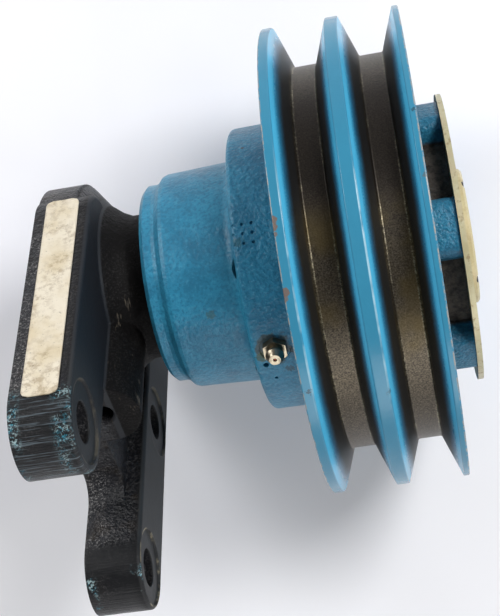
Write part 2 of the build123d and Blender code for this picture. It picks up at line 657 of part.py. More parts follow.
# ------------------------------------------------------------------ grease fitting
FITTING_AXIS = Axis((FITTING_X, 0, 0), FITTING_DIRECTION)
FITTING_SECTION = radial_plane(FITTING_X, FITTING_DIRECTION)

with BuildPart() as grease_fitting:
    turn(
        [(FITTING_BASE - FITTING_DEPTH, 0), (FITTING_BASE - FITTING_DEPTH, FITTING_THREAD),
         (FITTING_BASE, FITTING_THREAD), (FITTING_BASE + HEX_HEIGHT, FITTING_THREAD),
         (FITTING_BASE + HEX_HEIGHT, TIP_STEM),
         *[(TIP + back, radius) for back, radius in TIP_PROFILE], (TIP, 0)],
        plane=FITTING_SECTION, axis=FITTING_AXIS,
    )
    with BuildSketch(fitting_plane.offset(FITTING_BASE)) as hexagon:
        RegularPolygon(FITTING_HEX / 2, 6, major_radius=False)
    extrude(hexagon.sketch, amount=HEX_HEIGHT)
    turn(
        [(0, 0), (0, FITTING_BORE), (TIP - CHECK_BALL_SINK + 0.1, FITTING_BORE),
         (TIP - FITTING_LIP, FITTING_MOUTH), (TIP + CUT_PAST, FITTING_MOUTH), (TIP + CUT_PAST, 0)],
        plane=FITTING_SECTION, axis=FITTING_AXIS, mode=Mode.SUBTRACT,
    )
finish(grease_fitting, "grease_fitting")

with BuildPart() as grease_check_ball:
    with Locations(FITTING_DIRECTION * (TIP - CHECK_BALL_SINK) + Vector(FITTING_X, 0, 0)):
        Sphere(CHECK_BALL)
finish(grease_check_ball, "grease_check_ball")

with BuildPart() as grease_check_spring:
    spring_foot = FITTING_BASE - FITTING_DEPTH + 1
    spring_centre = FITTING_DIRECTION * spring_foot + Vector(FITTING_X, 0, 0)
    check_length = TIP - CHECK_BALL_SINK - CHECK_BALL - CHECK_WIRE - spring_foot
    with BuildLine() as check_wire:
        Helix(
            CHECK_PITCH, check_length, CHECK_COIL, center=spring_centre,
            direction=FITTING_DIRECTION,
        )
    with BuildSketch(Plane(origin=check_wire.line @ 0, z_dir=check_wire.line % 0)):
        Circle(CHECK_WIRE)
    sweep(path=check_wire.line, is_frenet=True)
finish(grease_check_spring, "grease_check_spring")

# ------------------------------------------------------------------ sheave and clamp screws
with BuildPart() as sheave:
    groove_centres = [
        RIM_X + REAR_FLANGE + GROOVE_OPENING / 2 + index * GROOVE_PITCH for index in range(2)
    ]
    profile_points = [(RIM_X, RIM_INNER), (RIM_X, SHEAVE_RADIUS)]
    for centre in groove_centres:
        profile_points += [
            (centre - GROOVE_OPENING / 2, SHEAVE_RADIUS), (centre - GROOVE_BOTTOM / 2, GROOVE_ROOT),
            (centre + GROOVE_BOTTOM / 2, GROOVE_ROOT), (centre + GROOVE_OPENING / 2, SHEAVE_RADIUS),
        ]
    profile_points += [
        (RIM_X + RIM_WIDTH, SHEAVE_RADIUS), (RIM_X + RIM_WIDTH, RIM_INNER + 2),
        (WEB_FRONT, RIM_INNER), (WEB_FRONT, SPIGOT + SEAT), (WEB_X, SPIGOT + SEAT),
        (WEB_X, RIM_INNER),
    ]
    turn(profile_points)
    rim_circles = sheave.edges().filter_by(GeomType.CIRCLE)
    fillet(rim_circles.filter_by(lambda edge: abs(edge.radius - SHEAVE_RADIUS) < 0.01), LAND_EDGE)
    groove_circles = sheave.edges().filter_by(GeomType.CIRCLE).filter_by(
        lambda edge: abs(edge.radius - GROOVE_ROOT) < 0.01
    )
    fillet(groove_circles, GROOVE_CORNER)
    round_bar(
        across_shaft(WEB_X), CLAMP_PLACES, CLAMP_THREAD + SCREW_CLEARANCE, WEB_THICKNESS,
        Mode.SUBTRACT,
    )
finish(sheave, "sheave")

with BuildPart() as clamp_screws:
    round_bar(across_shaft(WEB_FRONT - CLAMP_LENGTH), CLAMP_PLACES, CLAMP_THREAD, CLAMP_LENGTH)
    round_bar(across_shaft(WEB_FRONT), CLAMP_PLACES, CLAMP_HEAD, CLAMP_HEAD_HEIGHT)
    with BuildSketch(across_shaft(WEB_FRONT + CLAMP_HEAD_HEIGHT)) as sockets:
        with Locations(*CLAMP_PLACES):
            RegularPolygon(CLAMP_SOCKET, 6, major_radius=False)
    extrude(sockets.sketch, amount=-CLAMP_SOCKET_DEPTH, mode=Mode.SUBTRACT)
finish(clamp_screws, "clamp_screws")

# ------------------------------------------------------------------ fan hub
LOBE_START = 30 + LOBE_TURN
BOLT_PLACES = circle_places(FAN_BOLT_CIRCLE, LOBE_COUNT, LOBE_START)
SPRING_PLACES = circle_places(SPRING_CIRCLE, SPRING_COUNT, LOBE_START)
PIN_PLACES = circle_places(PIN_CIRCLE, PIN_COUNT, LOBE_START - 30)
SCREW_PLACES = circle_places(CAP_SCREW_CIRCLE, CAP_SCREWS, LOBE_START + 15)

with BuildPart() as fan_hub:
    with BuildSketch(across_shaft(FAN_BODY_X)) as lobed:
        for index in range(LOBE_COUNT // 2):
            with Locations((0, 0)):
                Rectangle(3 * LOBE_OUTER, LOBE_WIDTH, rotation=LOBE_START + 360 * index / LOBE_COUNT)
        Circle(LOBE_OUTER, mode=Mode.INTERSECT)
        Circle(FAN_CORE)
        outer_corners = lobed.vertices().group_by(lambda corner: round(corner.center().length, 1))[-1]
        fillet(outer_corners, LOBE_CORNER)
        inner_corners = lobed.vertices().filter_by(
            lambda corner: (corner.center() - Vector(FAN_BODY_X, 0, 0)).length < FAN_CORE + 0.1
        )
        fillet(inner_corners, LOBE_FILLET)
    extrude(amount=FAN_FACE - FAN_BODY_X)
    ring(FAN_TUBE_X, FAN_FACE - FAN_TUBE_X, 0, FAN_TUBE)
    # Bearing seat, air seal seat, air chamber and the seat of the pilot cap
    ring(FAN_TUBE_X, FAN_BEARING_END - FAN_TUBE_X, 0, FAN_BEARING_OUTER, Mode.SUBTRACT)
    ring(
        FAN_BEARING_END, AIR_SEAL_X - FAN_BEARING_END, 0, FAN_BEARING_OUTER - AIR_SHOULDER,
        Mode.SUBTRACT,
    )
    ring(AIR_SEAL_X, AIR_SEAL_WIDTH, 0, AIR_SEAL_RADIUS, Mode.SUBTRACT)
    ring(AIR_SEAL_X, FAN_FACE - AIR_SEAL_X, 0, AIR_CHAMBER, Mode.SUBTRACT)
    ring(FAN_FACE - SPIGOT_LENGTH, SPIGOT_LENGTH, 0, PILOT_SPIGOT, Mode.SUBTRACT)
    groove_x = FAN_BEARING_X - RING_WIDTH
    ring(
        groove_x, RING_WIDTH, FAN_BEARING_OUTER - CUT_PAST, FAN_BEARING_OUTER + FAN_RING_DEPTH,
        Mode.SUBTRACT,
    )
    round_bar(
        across_shaft(FAN_BODY_X), BOLT_PLACES, FAN_BOLT_TAP, FAN_FACE - FAN_BODY_X, Mode.SUBTRACT
    )
    round_bar(across_shaft(FAN_BODY_X), SPRING_PLACES, SPRING_POCKET, POCKET_IN_HUB, Mode.SUBTRACT)
    round_bar(across_shaft(FAN_BODY_X), PIN_PLACES, PIN_RADIUS, PIN_DEPTH, Mode.SUBTRACT)
    round_bar(
        across_shaft(FAN_FACE - CAP_SCREW_DRILL), SCREW_PLACES, CAP_SCREW_THREAD + SEAT,
        CAP_SCREW_DRILL, Mode.SUBTRACT,
    )
    # Air passage from the chamber to the release cylinder
    passage_radius = (FAN_BEARING_OUTER + FAN_TUBE) / 2
    passage_x = RELEASE_RING_END + PASSAGE_SETBACK[0]
    chamber_x = NOSE_END + PASSAGE_SETBACK[1]
    round_bar(
        across_shaft(passage_x), [(passage_radius, 0)], PASSAGE, chamber_x - passage_x,
        Mode.SUBTRACT,
    )
    for x, foot, reach in (
        (passage_x, passage_radius, FAN_TUBE - passage_radius + CUT_PAST),
        (chamber_x, AIR_CHAMBER - CUT_PAST, passage_radius - AIR_CHAMBER + CUT_PAST),
    ):
        side_drill = Plane(origin=(x, 0, 0), z_dir=(0, 1, 0)).offset(foot)
        round_bar(side_drill, [(0, 0)], PASSAGE, reach, Mode.SUBTRACT)
finish(fan_hub, "fan_hub")

with BuildPart() as fan_bearing_snap_ring:
    ring(
        groove_x, RING_WIDTH, FAN_BEARING_OUTER - RING_STAND,
        FAN_BEARING_OUTER + FAN_RING_DEPTH - SEAT,
    )
    with BuildSketch(across_shaft(groove_x)):
        with Locations((0, -FAN_BEARING_OUTER)):
            Rectangle(FAN_RING_GAP, FAN_RING_GAP)
    extrude(amount=RING_WIDTH, mode=Mode.SUBTRACT)
finish(fan_bearing_snap_ring, "fan_bearing_snap_ring")

with BuildPart() as air_seal:
    turn([
        (AIR_SEAL_X, AIR_SEAL_RADIUS), (AIR_SEAL_X, FAN_BEARING_BORE + 1.5),
        (AIR_SEAL_X + 1.5, FAN_BEARING_BORE + RUNNING),
        (AIR_SEAL_X + 3, FAN_BEARING_BORE + RUNNING), (AIR_SEAL_X + 2, FAN_BEARING_BORE + 2.5),
        (AIR_SEAL_X + AIR_SEAL_WIDTH, FAN_BEARING_BORE + 3.5),
        (AIR_SEAL_X + AIR_SEAL_WIDTH, AIR_SEAL_RADIUS),
    ])
finish(air_seal, "air_seal")

with BuildPart() as pilot_plate:
    ring(FAN_FACE, PLATE_GAUGE, PILOT_SPIGOT + PLATE_PLAY, PLATE_RADIUS)
    round_bar(
        across_shaft(FAN_FACE), BOLT_PLACES, FAN_BOLT_CLEARANCE, PLATE_GAUGE, Mode.SUBTRACT
    )
    round_bar(
        across_shaft(FAN_FACE), SCREW_PLACES, CAP_SCREW_THREAD + CAP_SCREW_PLAY, PLATE_GAUGE,
        Mode.SUBTRACT,
    )
finish(pilot_plate, "pilot_plate")

with BuildPart() as pilot_cap:
    spigot_x = FAN_FACE - SPIGOT_LENGTH
    groove_start, groove_width, groove_depth = CAP_GROOVE
    cap_groove_x = spigot_x + groove_start
    cap_groove_floor = PILOT_SPIGOT - groove_depth
    turn([
        (spigot_x, 0), (spigot_x, PILOT_SPIGOT - SEAT), (PLATE_FRONT, PILOT_SPIGOT - SEAT),
        (PLATE_FRONT, PILOT_RADIUS), (PILOT_FRONT - PILOT_EDGE, PILOT_RADIUS),
        (PILOT_FRONT, PILOT_RADIUS - PILOT_EDGE), (PILOT_FRONT, 0),
    ])
    ring(
        cap_groove_x, groove_width, cap_groove_floor, PILOT_SPIGOT + CUT_PAST, Mode.SUBTRACT
    )
    round_bar(
        across_shaft(PLATE_FRONT), SCREW_PLACES, CAP_SCREW_THREAD + CAP_SCREW_PLAY, PILOT_HEIGHT,
        Mode.SUBTRACT,
    )
    head_x = PILOT_FRONT - CAP_SCREW_SINK
    round_bar(
        across_shaft(head_x), SCREW_PLACES, CAP_SCREW_HEAD + CAP_SCREW_HEAD_PLAY, CAP_SCREW_SINK,
        Mode.SUBTRACT,
    )
finish(pilot_cap, "pilot_cap")

with BuildPart() as cap_seal:
    ring(
        cap_groove_x + CAP_GROOVE_PLAY, groove_width - 2 * CAP_GROOVE_PLAY,
        cap_groove_floor, PILOT_SPIGOT,
    )
finish(cap_seal, "cap_seal")

with BuildPart() as cap_screws:
    socket_radius, socket_depth = CAP_SCREW_SOCKET
    round_bar(
        across_shaft(head_x - CAP_SCREW_LENGTH), SCREW_PLACES, CAP_SCREW_THREAD, CAP_SCREW_LENGTH
    )
    round_bar(across_shaft(head_x), SCREW_PLACES, CAP_SCREW_HEAD, CAP_SCREW_HEAD_HEIGHT)
    with BuildSketch(across_shaft(head_x + CAP_SCREW_HEAD_HEIGHT)) as cap_sockets:
        with Locations(*SCREW_PLACES):
            RegularPolygon(socket_radius, 6, major_radius=False)
    extrude(cap_sockets.sketch, amount=-socket_depth, mode=Mode.SUBTRACT)
finish(cap_screws, "cap_screws")

with BuildPart() as drive_pins:
    pin_gap = STROKE + STROKE_RESERVE
    round_bar(
        across_shaft(FAN_BODY_X - pin_gap - PIN_REACH), PIN_PLACES, PIN_RADIUS,
        PIN_REACH + pin_gap + PIN_DEPTH,
    )
finish(drive_pins, "drive_pins")

# ------------------------------------------------------------------ clutch
with BuildPart() as release_ring:
    ring(RELEASE_RING_X, RELEASE_RING_WIDTH, FAN_TUBE, RELEASE_RING_RADIUS)
    seal_groove_x = RELEASE_RING_X + RELEASE_GROOVE
    ring(
        seal_groove_x, 2 * SEAL_CORD, RELEASE_RING_RADIUS - 2 * SEAL_CORD,
        RELEASE_RING_RADIUS + CUT_PAST, Mode.SUBTRACT,
    )
finish(release_ring, "release_ring")

with BuildPart() as release_seal:
    ring(
        seal_groove_x + SEAL_PLAY, 2 * SEAL_CORD - 2 * SEAL_PLAY,
        RELEASE_RING_RADIUS - 2 * SEAL_CORD, RELEASE_RING_RADIUS,
    )
finish(release_seal, "release_seal")

with BuildPart() as piston:
    bore = RELEASE_RING_RADIUS + RUNNING
    lip_bore = FAN_TUBE + RUNNING
    turn([
        (PISTON_RIM_BACK, PISTON_RIM_INNER), (PISTON_RIM_BACK, PISTON_RIM),
        (PISTON_BACK + PISTON_RIM_SLOPE, PISTON_RIM), (PISTON_LIP_X, PISTON_HUB + PISTON_NECK),
        (PISTON_FRONT, PISTON_HUB),
        (PISTON_FRONT, lip_bore), (PISTON_LIP_X, lip_bore), (PISTON_LIP_X, bore),
        (PISTON_BACK, bore), (PISTON_BACK, PISTON_RIM_INNER),
    ])
    round_bar(
        across_shaft(PISTON_FRONT - POCKET_IN_PISTON), SPRING_PLACES, SPRING_POCKET,
        POCKET_IN_PISTON, Mode.SUBTRACT,
    )
    round_bar(
        across_shaft(PISTON_BACK), PIN_PLACES, PIN_RADIUS + RUNNING,
        PISTON_FRONT - PISTON_BACK, Mode.SUBTRACT,
    )
    lip_groove_x = PISTON_LIP_X + RELEASE_GROOVE
    ring(lip_groove_x, SEAL_CORD, lip_bore - CUT_PAST, lip_bore + SEAL_CORD, Mode.SUBTRACT)
finish(piston, "piston")

with BuildPart() as piston_seal:
    ring(
        lip_groove_x + SEAL_PLAY / 2, SEAL_CORD - SEAL_PLAY, lip_bore, lip_bore + SEAL_CORD
    )
finish(piston_seal, "piston_seal")

with BuildPart() as friction_lining:
    ring(LINING_X, LINING_THICKNESS, LINING_INNER, LINING_OUTER)
finish(friction_lining, "friction_lining")

with BuildPart() as clutch_springs:
    foot = PISTON_FRONT - POCKET_IN_PISTON + SPRING_WIRE + RUNNING
    spring_length = FAN_BODY_X + POCKET_IN_HUB - SPRING_WIRE - RUNNING - foot
    for across, up in SPRING_PLACES:
        spring_pitch = spring_length / SPRING_TURNS
        spring_seat = (foot, across, up)
        with BuildLine() as wire:
            Helix(spring_pitch, spring_length, SPRING_RADIUS, center=spring_seat, direction=(1, 0, 0))
        with BuildSketch(Plane(origin=wire.line @ 0, z_dir=wire.line % 0)) as wire_section:
            Circle(SPRING_WIRE)
        sweep(wire_section.sketch, path=wire.line, is_frenet=True)
finish(clutch_springs, "clutch_springs")
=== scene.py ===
"""Visual model of a rear-air engine fan drive with a two-groove belt sheave.

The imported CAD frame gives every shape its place. Each sub-assembly below is a class that builds
or dresses its own pieces, and each finish is a frozen dataclass that lays out one material.
Lengths are in metres, in the frame of the part: X along the shaft, Z up.
"""

import logging
import math
from collections.abc import Iterable
from dataclasses import dataclass
from enum import Enum
from functools import reduce

import bmesh
import bpy
from mathutils import Matrix, Vector

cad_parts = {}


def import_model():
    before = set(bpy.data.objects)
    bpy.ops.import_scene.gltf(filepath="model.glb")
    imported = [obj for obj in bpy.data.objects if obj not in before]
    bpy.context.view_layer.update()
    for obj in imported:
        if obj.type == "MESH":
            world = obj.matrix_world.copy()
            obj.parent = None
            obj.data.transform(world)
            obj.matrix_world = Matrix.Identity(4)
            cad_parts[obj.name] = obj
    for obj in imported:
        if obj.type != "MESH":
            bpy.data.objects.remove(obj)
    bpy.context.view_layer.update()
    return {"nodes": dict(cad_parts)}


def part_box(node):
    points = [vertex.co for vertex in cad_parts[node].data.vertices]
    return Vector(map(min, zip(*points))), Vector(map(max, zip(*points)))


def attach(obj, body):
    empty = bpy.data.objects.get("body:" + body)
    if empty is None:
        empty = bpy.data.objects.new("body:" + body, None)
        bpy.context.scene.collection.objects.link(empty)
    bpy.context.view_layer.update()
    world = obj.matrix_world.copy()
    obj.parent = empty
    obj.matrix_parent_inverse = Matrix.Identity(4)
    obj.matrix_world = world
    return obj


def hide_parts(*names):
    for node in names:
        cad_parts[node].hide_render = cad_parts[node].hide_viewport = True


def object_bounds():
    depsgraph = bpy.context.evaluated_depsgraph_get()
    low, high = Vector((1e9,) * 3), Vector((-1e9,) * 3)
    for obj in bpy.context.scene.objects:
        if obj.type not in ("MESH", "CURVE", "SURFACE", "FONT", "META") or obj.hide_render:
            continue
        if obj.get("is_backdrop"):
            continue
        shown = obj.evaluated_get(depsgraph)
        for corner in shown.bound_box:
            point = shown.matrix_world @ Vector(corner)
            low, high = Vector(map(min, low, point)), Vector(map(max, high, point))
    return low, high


LOG = logging.getLogger("fan_drive")
MM = 0.001
ROOT_HALF = math.sqrt(0.5)
ENAMEL_IOR = 1.45

Material = bpy.types.Material
Socket = bpy.types.NodeSocket
Value = float | Socket
Colour = tuple[float, float, float]
Span = tuple[float, float]
Spot = tuple[float, float]
Place = tuple[float, float, float]


def shade(red: int, green: int, blue: int) -> Colour:
    """Turn a screen colour (0 to 255) into the linear values that shaders take.

    Args:
        red: Red part.
        green: Green part.
        blue: Blue part.

    Returns:
        The three linear values.
    """
    parts = [part / 255 for part in (red, green, blue)]
    return tuple(p / 12.92 if p <= 0.04045 else ((p + 0.055) / 1.055) ** 2.4 for p in parts)


def placed(name: str, data: bpy.types.ID) -> bpy.types.Object:
    """Make an object of a mesh, lamp or camera, and put it in the scene.

    Args:
        name: Name of the object.
        data: What it shows.

    Returns:
        The object.
    """
    thing = bpy.data.objects.new(name, data)
    bpy.context.scene.collection.objects.link(thing)
    return thing


class Sum(Enum):
    """The sums that a finish may ask of its graph."""

    ADD = "ADD"
    TAKE = "SUBTRACT"
    TIMES = "MULTIPLY"
    SIZE = "ABSOLUTE"
    ROOT = "SQRT"
    ANGLE = "ARCTAN2"
    MOST = "MAXIMUM"


@dataclass(frozen=True)
class Mark:
    """A stain or a chip on a painted surface."""

    x: float
    radius: float
    angle: float
    reach: float
    colour: Colour
    strength: float = 1.0
    ragged: float = 0.35

    def centre(self) -> Vector:
        """Place of the mark; 0 degrees is straight up, and angles turn towards +Y."""
        turn = math.radians(self.angle)
        return Vector((self.x, self.radius * math.sin(turn), self.radius * math.cos(turn)))


class Graph:
    """One material's node tree, with short calls for the nodes that the finishes share."""

    def __init__(self, name: str) -> None:
        """Start a material that holds one Principled shader.

        Args:
            name: Name of the material.
        """
        self.material = bpy.data.materials.new(name)
        self.material.use_nodes = True
        self.tree = self.material.node_tree
        self.tree.nodes.clear()
        self.output = self.node("OutputMaterial")
        self.shader = self.node("BsdfPrincipled")
        self.tree.links.new(self.shader.outputs["BSDF"], self.output.inputs["Surface"])
        self.place = self.node("TexCoord").outputs["Object"]
        split = self.node("SeparateXYZ")
        self.feed(split.inputs[0], self.place)
        self.x, self.y, self.z = split.outputs

    def node(self, kind: str) -> bpy.types.Node:
        """Add a shader node of a kind."""
        return self.tree.nodes.new(f"ShaderNode{kind}")

    def feed(self, socket: Socket, value: Value | Colour) -> None:
        """Link a socket, or set it where the value is a plain number or colour.

        Args:
            socket: The input to fill.
            value: An output socket, a number, or a colour.
        """
        if isinstance(value, Socket):
            self.tree.links.new(value, socket)
        elif socket.type == "RGBA":
            socket.default_value = (*value, 1.0)
        else:
            socket.default_value = value

    def sum(self, kind: Sum, first: Value, second: Value = 0.0, clamp: bool = False) -> Socket:
        """Work out one sum.

        Args:
            kind: Which sum.
            first: Left side.
            second: Right side, where the sum has one.
            clamp: Keep the result between 0 and 1.

        Returns:
            The result.
        """
        node = self.node("Math")
        node.operation = kind.value
        node.use_clamp = clamp
        self.feed(node.inputs[0], first)
        self.feed(node.inputs[1], second)
        return node.outputs[0]

    def fade(self, value: Value, start: float, end: float) -> Socket:
        """Rise smoothly from 0 at start to 1 at end.

        Args:
            value: What is measured.
            start: Where the result is 0.
            end: Where the result is 1; it may be under start.

        Returns:
            The share.
        """
        node = self.node("MapRange")
        node.interpolation_type = "SMOOTHSTEP"
        low, high = min(start, end), max(start, end)
        self.feed(node.inputs["Value"], value)
        node.inputs["From Min"].default_value = low
        node.inputs["From Max"].default_value = high
        node.inputs["To Min"].default_value = 0.0 if start < end else 1.0
        node.inputs["To Max"].default_value = 1.0 if start < end else 0.0
        return node.outputs["Result"]

    def both(self, first: Value, second: Value) -> Socket:
        """Share in two areas at once."""
        return self.sum(Sum.TIMES, first, second, clamp=True)

    def either(self, first: Value, second: Value) -> Socket:
        """Share in one of two areas."""
        return self.sum(Sum.MOST, first, second, clamp=True)

    def any_of(self, areas: Iterable[Socket]) -> Socket:
        """Share in one of several areas."""
        return reduce(self.either, areas)

    def outside(self, area: Value) -> Socket:
        """Share outside an area."""
        return self.sum(Sum.TAKE, 1.0, area, clamp=True)

    def part(self, area: Value, share: Value) -> Socket:
        """An area, or a map, at a part of its strength."""
        return self.sum(Sum.TIMES, area, share)

    def band(self, value: Value, rise: Span, fall: Span) -> Socket:
        """Share where a measure lies between a rise and a fall."""
        return self.both(self.fade(value, *rise), self.fade(value, *fall))

    def length(self, first: Value, second: Value) -> Socket:
        """Length of a step that is given by its two sides."""
        squares = self.part(first, first), self.part(second, second)
        return self.sum(Sum.ROOT, self.sum(Sum.ADD, *squares))

    def apart(self, value: Value, other: Value) -> Socket:
        """Distance between two measures."""
        return self.sum(Sum.SIZE, self.sum(Sum.TAKE, value, other))

    def stretched(self, x: float, y: float, z: float) -> Socket:
        """Coordinates with each axis scaled, for a grain that runs one way.

        Args:
            x: Scale along the shaft.
            y: Scale across.
            z: Scale up.

        Returns:
            The scaled coordinates.
        """
        node = self.node("VectorMath")
        node.operation = "MULTIPLY"
        self.feed(node.inputs[0], self.place)
        node.inputs[1].default_value = (x, y, z)
        return node.outputs[0]

    def joined(self, x: Value, y: Value, z: Value) -> Socket:
        """Coordinates made of three measures.

        Args:
            x: First measure.
            y: Second measure.
            z: Third measure.

        Returns:
            The coordinates.
        """
        node = self.node("CombineXYZ")
        for socket, value in zip(node.inputs, (x, y, z)):
            self.feed(socket, value)
        return node.outputs[0]

    def noise(
        self, size: float, detail: float = 2.0, rough: float = 0.5, place: Socket | None = None
    ) -> Socket:
        """Cloudy noise between 0 and 1.

        Args:
            size: Length of one cloud.
            detail: Octaves of finer noise.
            rough: Weight of the finer noise.
            place: Coordinates, if not the plain ones.

        Returns:
            The noise.
        """
        node = self.node("TexNoise")
        self.feed(node.inputs["Vector"], place or self.place)
        node.inputs["Scale"].default_value = 1.0 / size
        node.inputs["Detail"].default_value = detail
        node.inputs["Roughness"].default_value = rough
        return node.outputs["Fac"]

    def cells(self, size: float) -> Socket:
        """Distance to the nearest of scattered points, about 0 to 1.

        Args:
            size: Spacing of the points.

        Returns:
            The distance.
        """
        node = self.node("TexVoronoi")
        self.feed(node.inputs["Vector"], self.place)
        node.inputs["Scale"].default_value = 1.0 / size
        return node.outputs["Distance"]

    def mix(self, share: Value, first: Socket | Colour, second: Socket | Colour) -> Socket:
        """Blend two colours.

        Args:
            share: How much of the second shows.
            first: Colour at 0.
            second: Colour at 1.

        Returns:
            The blended colour.
        """
        node = self.node("Mix")
        node.data_type = "RGBA"
        self.feed(node.inputs[0], share)
        self.feed(node.inputs[6], first)
        self.feed(node.inputs[7], second)
        return node.outputs[2]

    def over(
        self, base: Socket, area: Value, colour: Socket | Colour, share: Value = 1.0
    ) -> Socket:
        """Lay a colour over an area of another.

        Args:
            base: Colour underneath.
            area: Where the new colour goes.
            colour: The new colour.
            share: How thickly it lies.

        Returns:
            The blended colour.
        """
        return self.mix(self.part(area, share), base, colour)

    def marked(self, colour: Socket, marks: tuple[Mark, ...]) -> Socket:
        """Lay stains and chips over a colour.

        Args:
            colour: Colour underneath.
            marks: The stains and chips.

        Returns:
            The marked colour.
        """
        for mark in marks:
            spot = self.near(mark.centre(), mark.reach, mark.ragged)
            colour = self.over(colour, spot, mark.colour, mark.strength)
        return colour

    def level(self, share: Value, first: Value, second: Value) -> Socket:
        """Blend two numbers.

        Args:
            share: How much of the second shows.
            first: Number at 0.
            second: Number at 1.

        Returns:
            The blended number.
        """
        node = self.node("Mix")
        node.data_type = "FLOAT"
        self.feed(node.inputs[0], share)
        self.feed(node.inputs[2], first)
        self.feed(node.inputs[3], second)
        return node.outputs[0]

    def relief(
        self, height: Value, depth: float, strength: Value = 1.0, under: Socket | None = None
    ) -> Socket:
        """Raise the surface by a height map.

        Args:
            height: The map, 0 to 1.
            depth: Length that 1 stands for.
            strength: Share of the effect.
            under: Relief that this one lies on.

        Returns:
            The normal.
        """
        node = self.node("Bump")
        node.inputs["Distance"].default_value = depth
        self.feed(node.inputs["Strength"], strength)
        self.feed(node.inputs["Height"], height)
        if under is not None:
            self.feed(node.inputs["Normal"], under)
        return node.outputs[0]

    def soft_edges(self, radius: float) -> Socket:
        """Normals that round every edge.

        Args:
            radius: Radius of the rounding.

        Returns:
            The normal.
        """
        node = self.node("Bevel")
        node.samples = 4
        node.inputs["Radius"].default_value = radius
        return node.outputs[0]

    def radius(self) -> Socket:
        """Distance from the shaft's axis."""
        return self.length(self.y, self.z)

    def turned(self) -> Socket:
        """Coordinates whose noise makes rings about the shaft, as a lathe leaves them."""
        return self.joined(self.x, self.radius(), 0.0)

    def near(self, centre: Vector, reach: float, ragged: float = 0.35) -> Socket:
        """A patch with a ragged outline.

        Args:
            centre: Middle of the patch.
            reach: Its radius.
            ragged: How far the outline wanders, over the radius.

        Returns:
            Share of the patch.
        """
        node = self.node("VectorMath")
        node.operation = "DISTANCE"
        self.feed(node.inputs[0], self.place)
        node.inputs[1].default_value = centre
        wander = self.part(
            self.sum(Sum.TAKE, self.noise(reach * 0.6, 4.0), 0.5), reach * ragged * 4
        )
        return self.fade(self.sum(Sum.ADD, node.outputs["Value"], wander), reach, reach * 0.75)

    def dress(
        self,
        colour: Socket | Colour,
        rough: Value,
        metal: Value,
        normal: Socket,
        **plain: float,
    ) -> Material:
        """Fill the shader's sockets and give the material back.

        Args:
            colour: Base colour.
            rough: Roughness.
            metal: Share of bare metal.
            normal: Relief.
            plain: Uniform values, by socket name with _ for a space.

        Returns:
            The finished material.
        """
        inputs = self.shader.inputs
        self.feed(inputs["Base Color"], colour)
        self.feed(inputs["Roughness"], rough)
        self.feed(inputs["Metallic"], metal)
        self.feed(inputs["Normal"], normal)
        for name, value in plain.items():
            inputs[name.replace("_", " ")].default_value = value
        return self.material


@dataclass(frozen=True)
class CastEnamel:
    """Gloss enamel on a sand casting, whose grain shows through."""

    name: str
    colour: Colour
    pale: Colour
    deep: Colour
    grain: float = 1.2 * MM
    depth: float = 0.6 * MM
    coarse_from: float = 1.0
    bare_inside: float = 0.0
    bare: Colour = shade(58, 50, 42)
    rust: Colour = shade(36, 33, 31)
    edge: float = 0.5 * MM
    marks: tuple[Mark, ...] = ()

    def coat(self, g: Graph, grit: Socket, coarse: Socket) -> Socket:
        """Cloudy enamel, with painted shade in the casting's pits and painted highlights on its
        crests.

        Args:
            g: The graph.
            grit: The casting's grain.
            coarse: Share of the coarser skin.

        Returns:
            The enamel's colour.
        """
        coat = g.mix(g.fade(g.noise(16 * MM, 5.0, 0.6), 0.35, 0.75), self.colour, self.deep)
        coat = g.over(coat, g.fade(g.noise(5 * MM, 4.0, 0.65), 0.55, 0.8), self.pale, 0.4)
        # Painted shade in the pits of the grain.
        coat = g.over(coat, g.outside(g.fade(grit, 0.36, 0.52)), self.deep, 0.6)
        # Painted highlights on the crests of the grain, stronger on the coarse skin.
        return g.over(coat, g.fade(grit, 0.56, 0.7), self.pale, g.level(coarse, 0.22, 0.45))

    def make(self) -> Material:
        """Lay out the material.

        Returns:
            The finished material.
        """
        g = Graph(self.name)
        grit = g.noise(self.grain, 2.5, 0.55)
        lumps = g.noise(self.grain * 2.2, 1.0, 0.4)
        coarse = g.fade(g.x, self.coarse_from, self.coarse_from + 0.8 * MM)
        edge = self.bare_inside
        raw = g.outside(g.fade(g.radius(), edge - 1.2 * MM, edge + 0.6 * MM))
        raw = g.both(raw, 1.0 if edge else 0.0)
        rust = g.mix(g.fade(g.noise(2.5 * MM, 5.0, 0.7), 0.35, 0.7), self.bare, self.rust)
        colour = g.marked(g.mix(raw, self.coat(g, grit, coarse), rust), self.marks)
        height = g.sum(Sum.ADD, g.part(grit, 0.7), g.part(lumps, 0.6))
        strength = g.level(coarse, 0.6, 1.0)
        normal = g.relief(height, self.depth, strength, g.soft_edges(self.edge))
        rough = g.level(g.noise(7 * MM, 4.0), 0.26, 0.48)
        rough = g.level(raw, rough, 0.7)
        return g.dress(colour, rough, 0.0, normal, IOR=ENAMEL_IOR, Specular_IOR_Level=0.4)


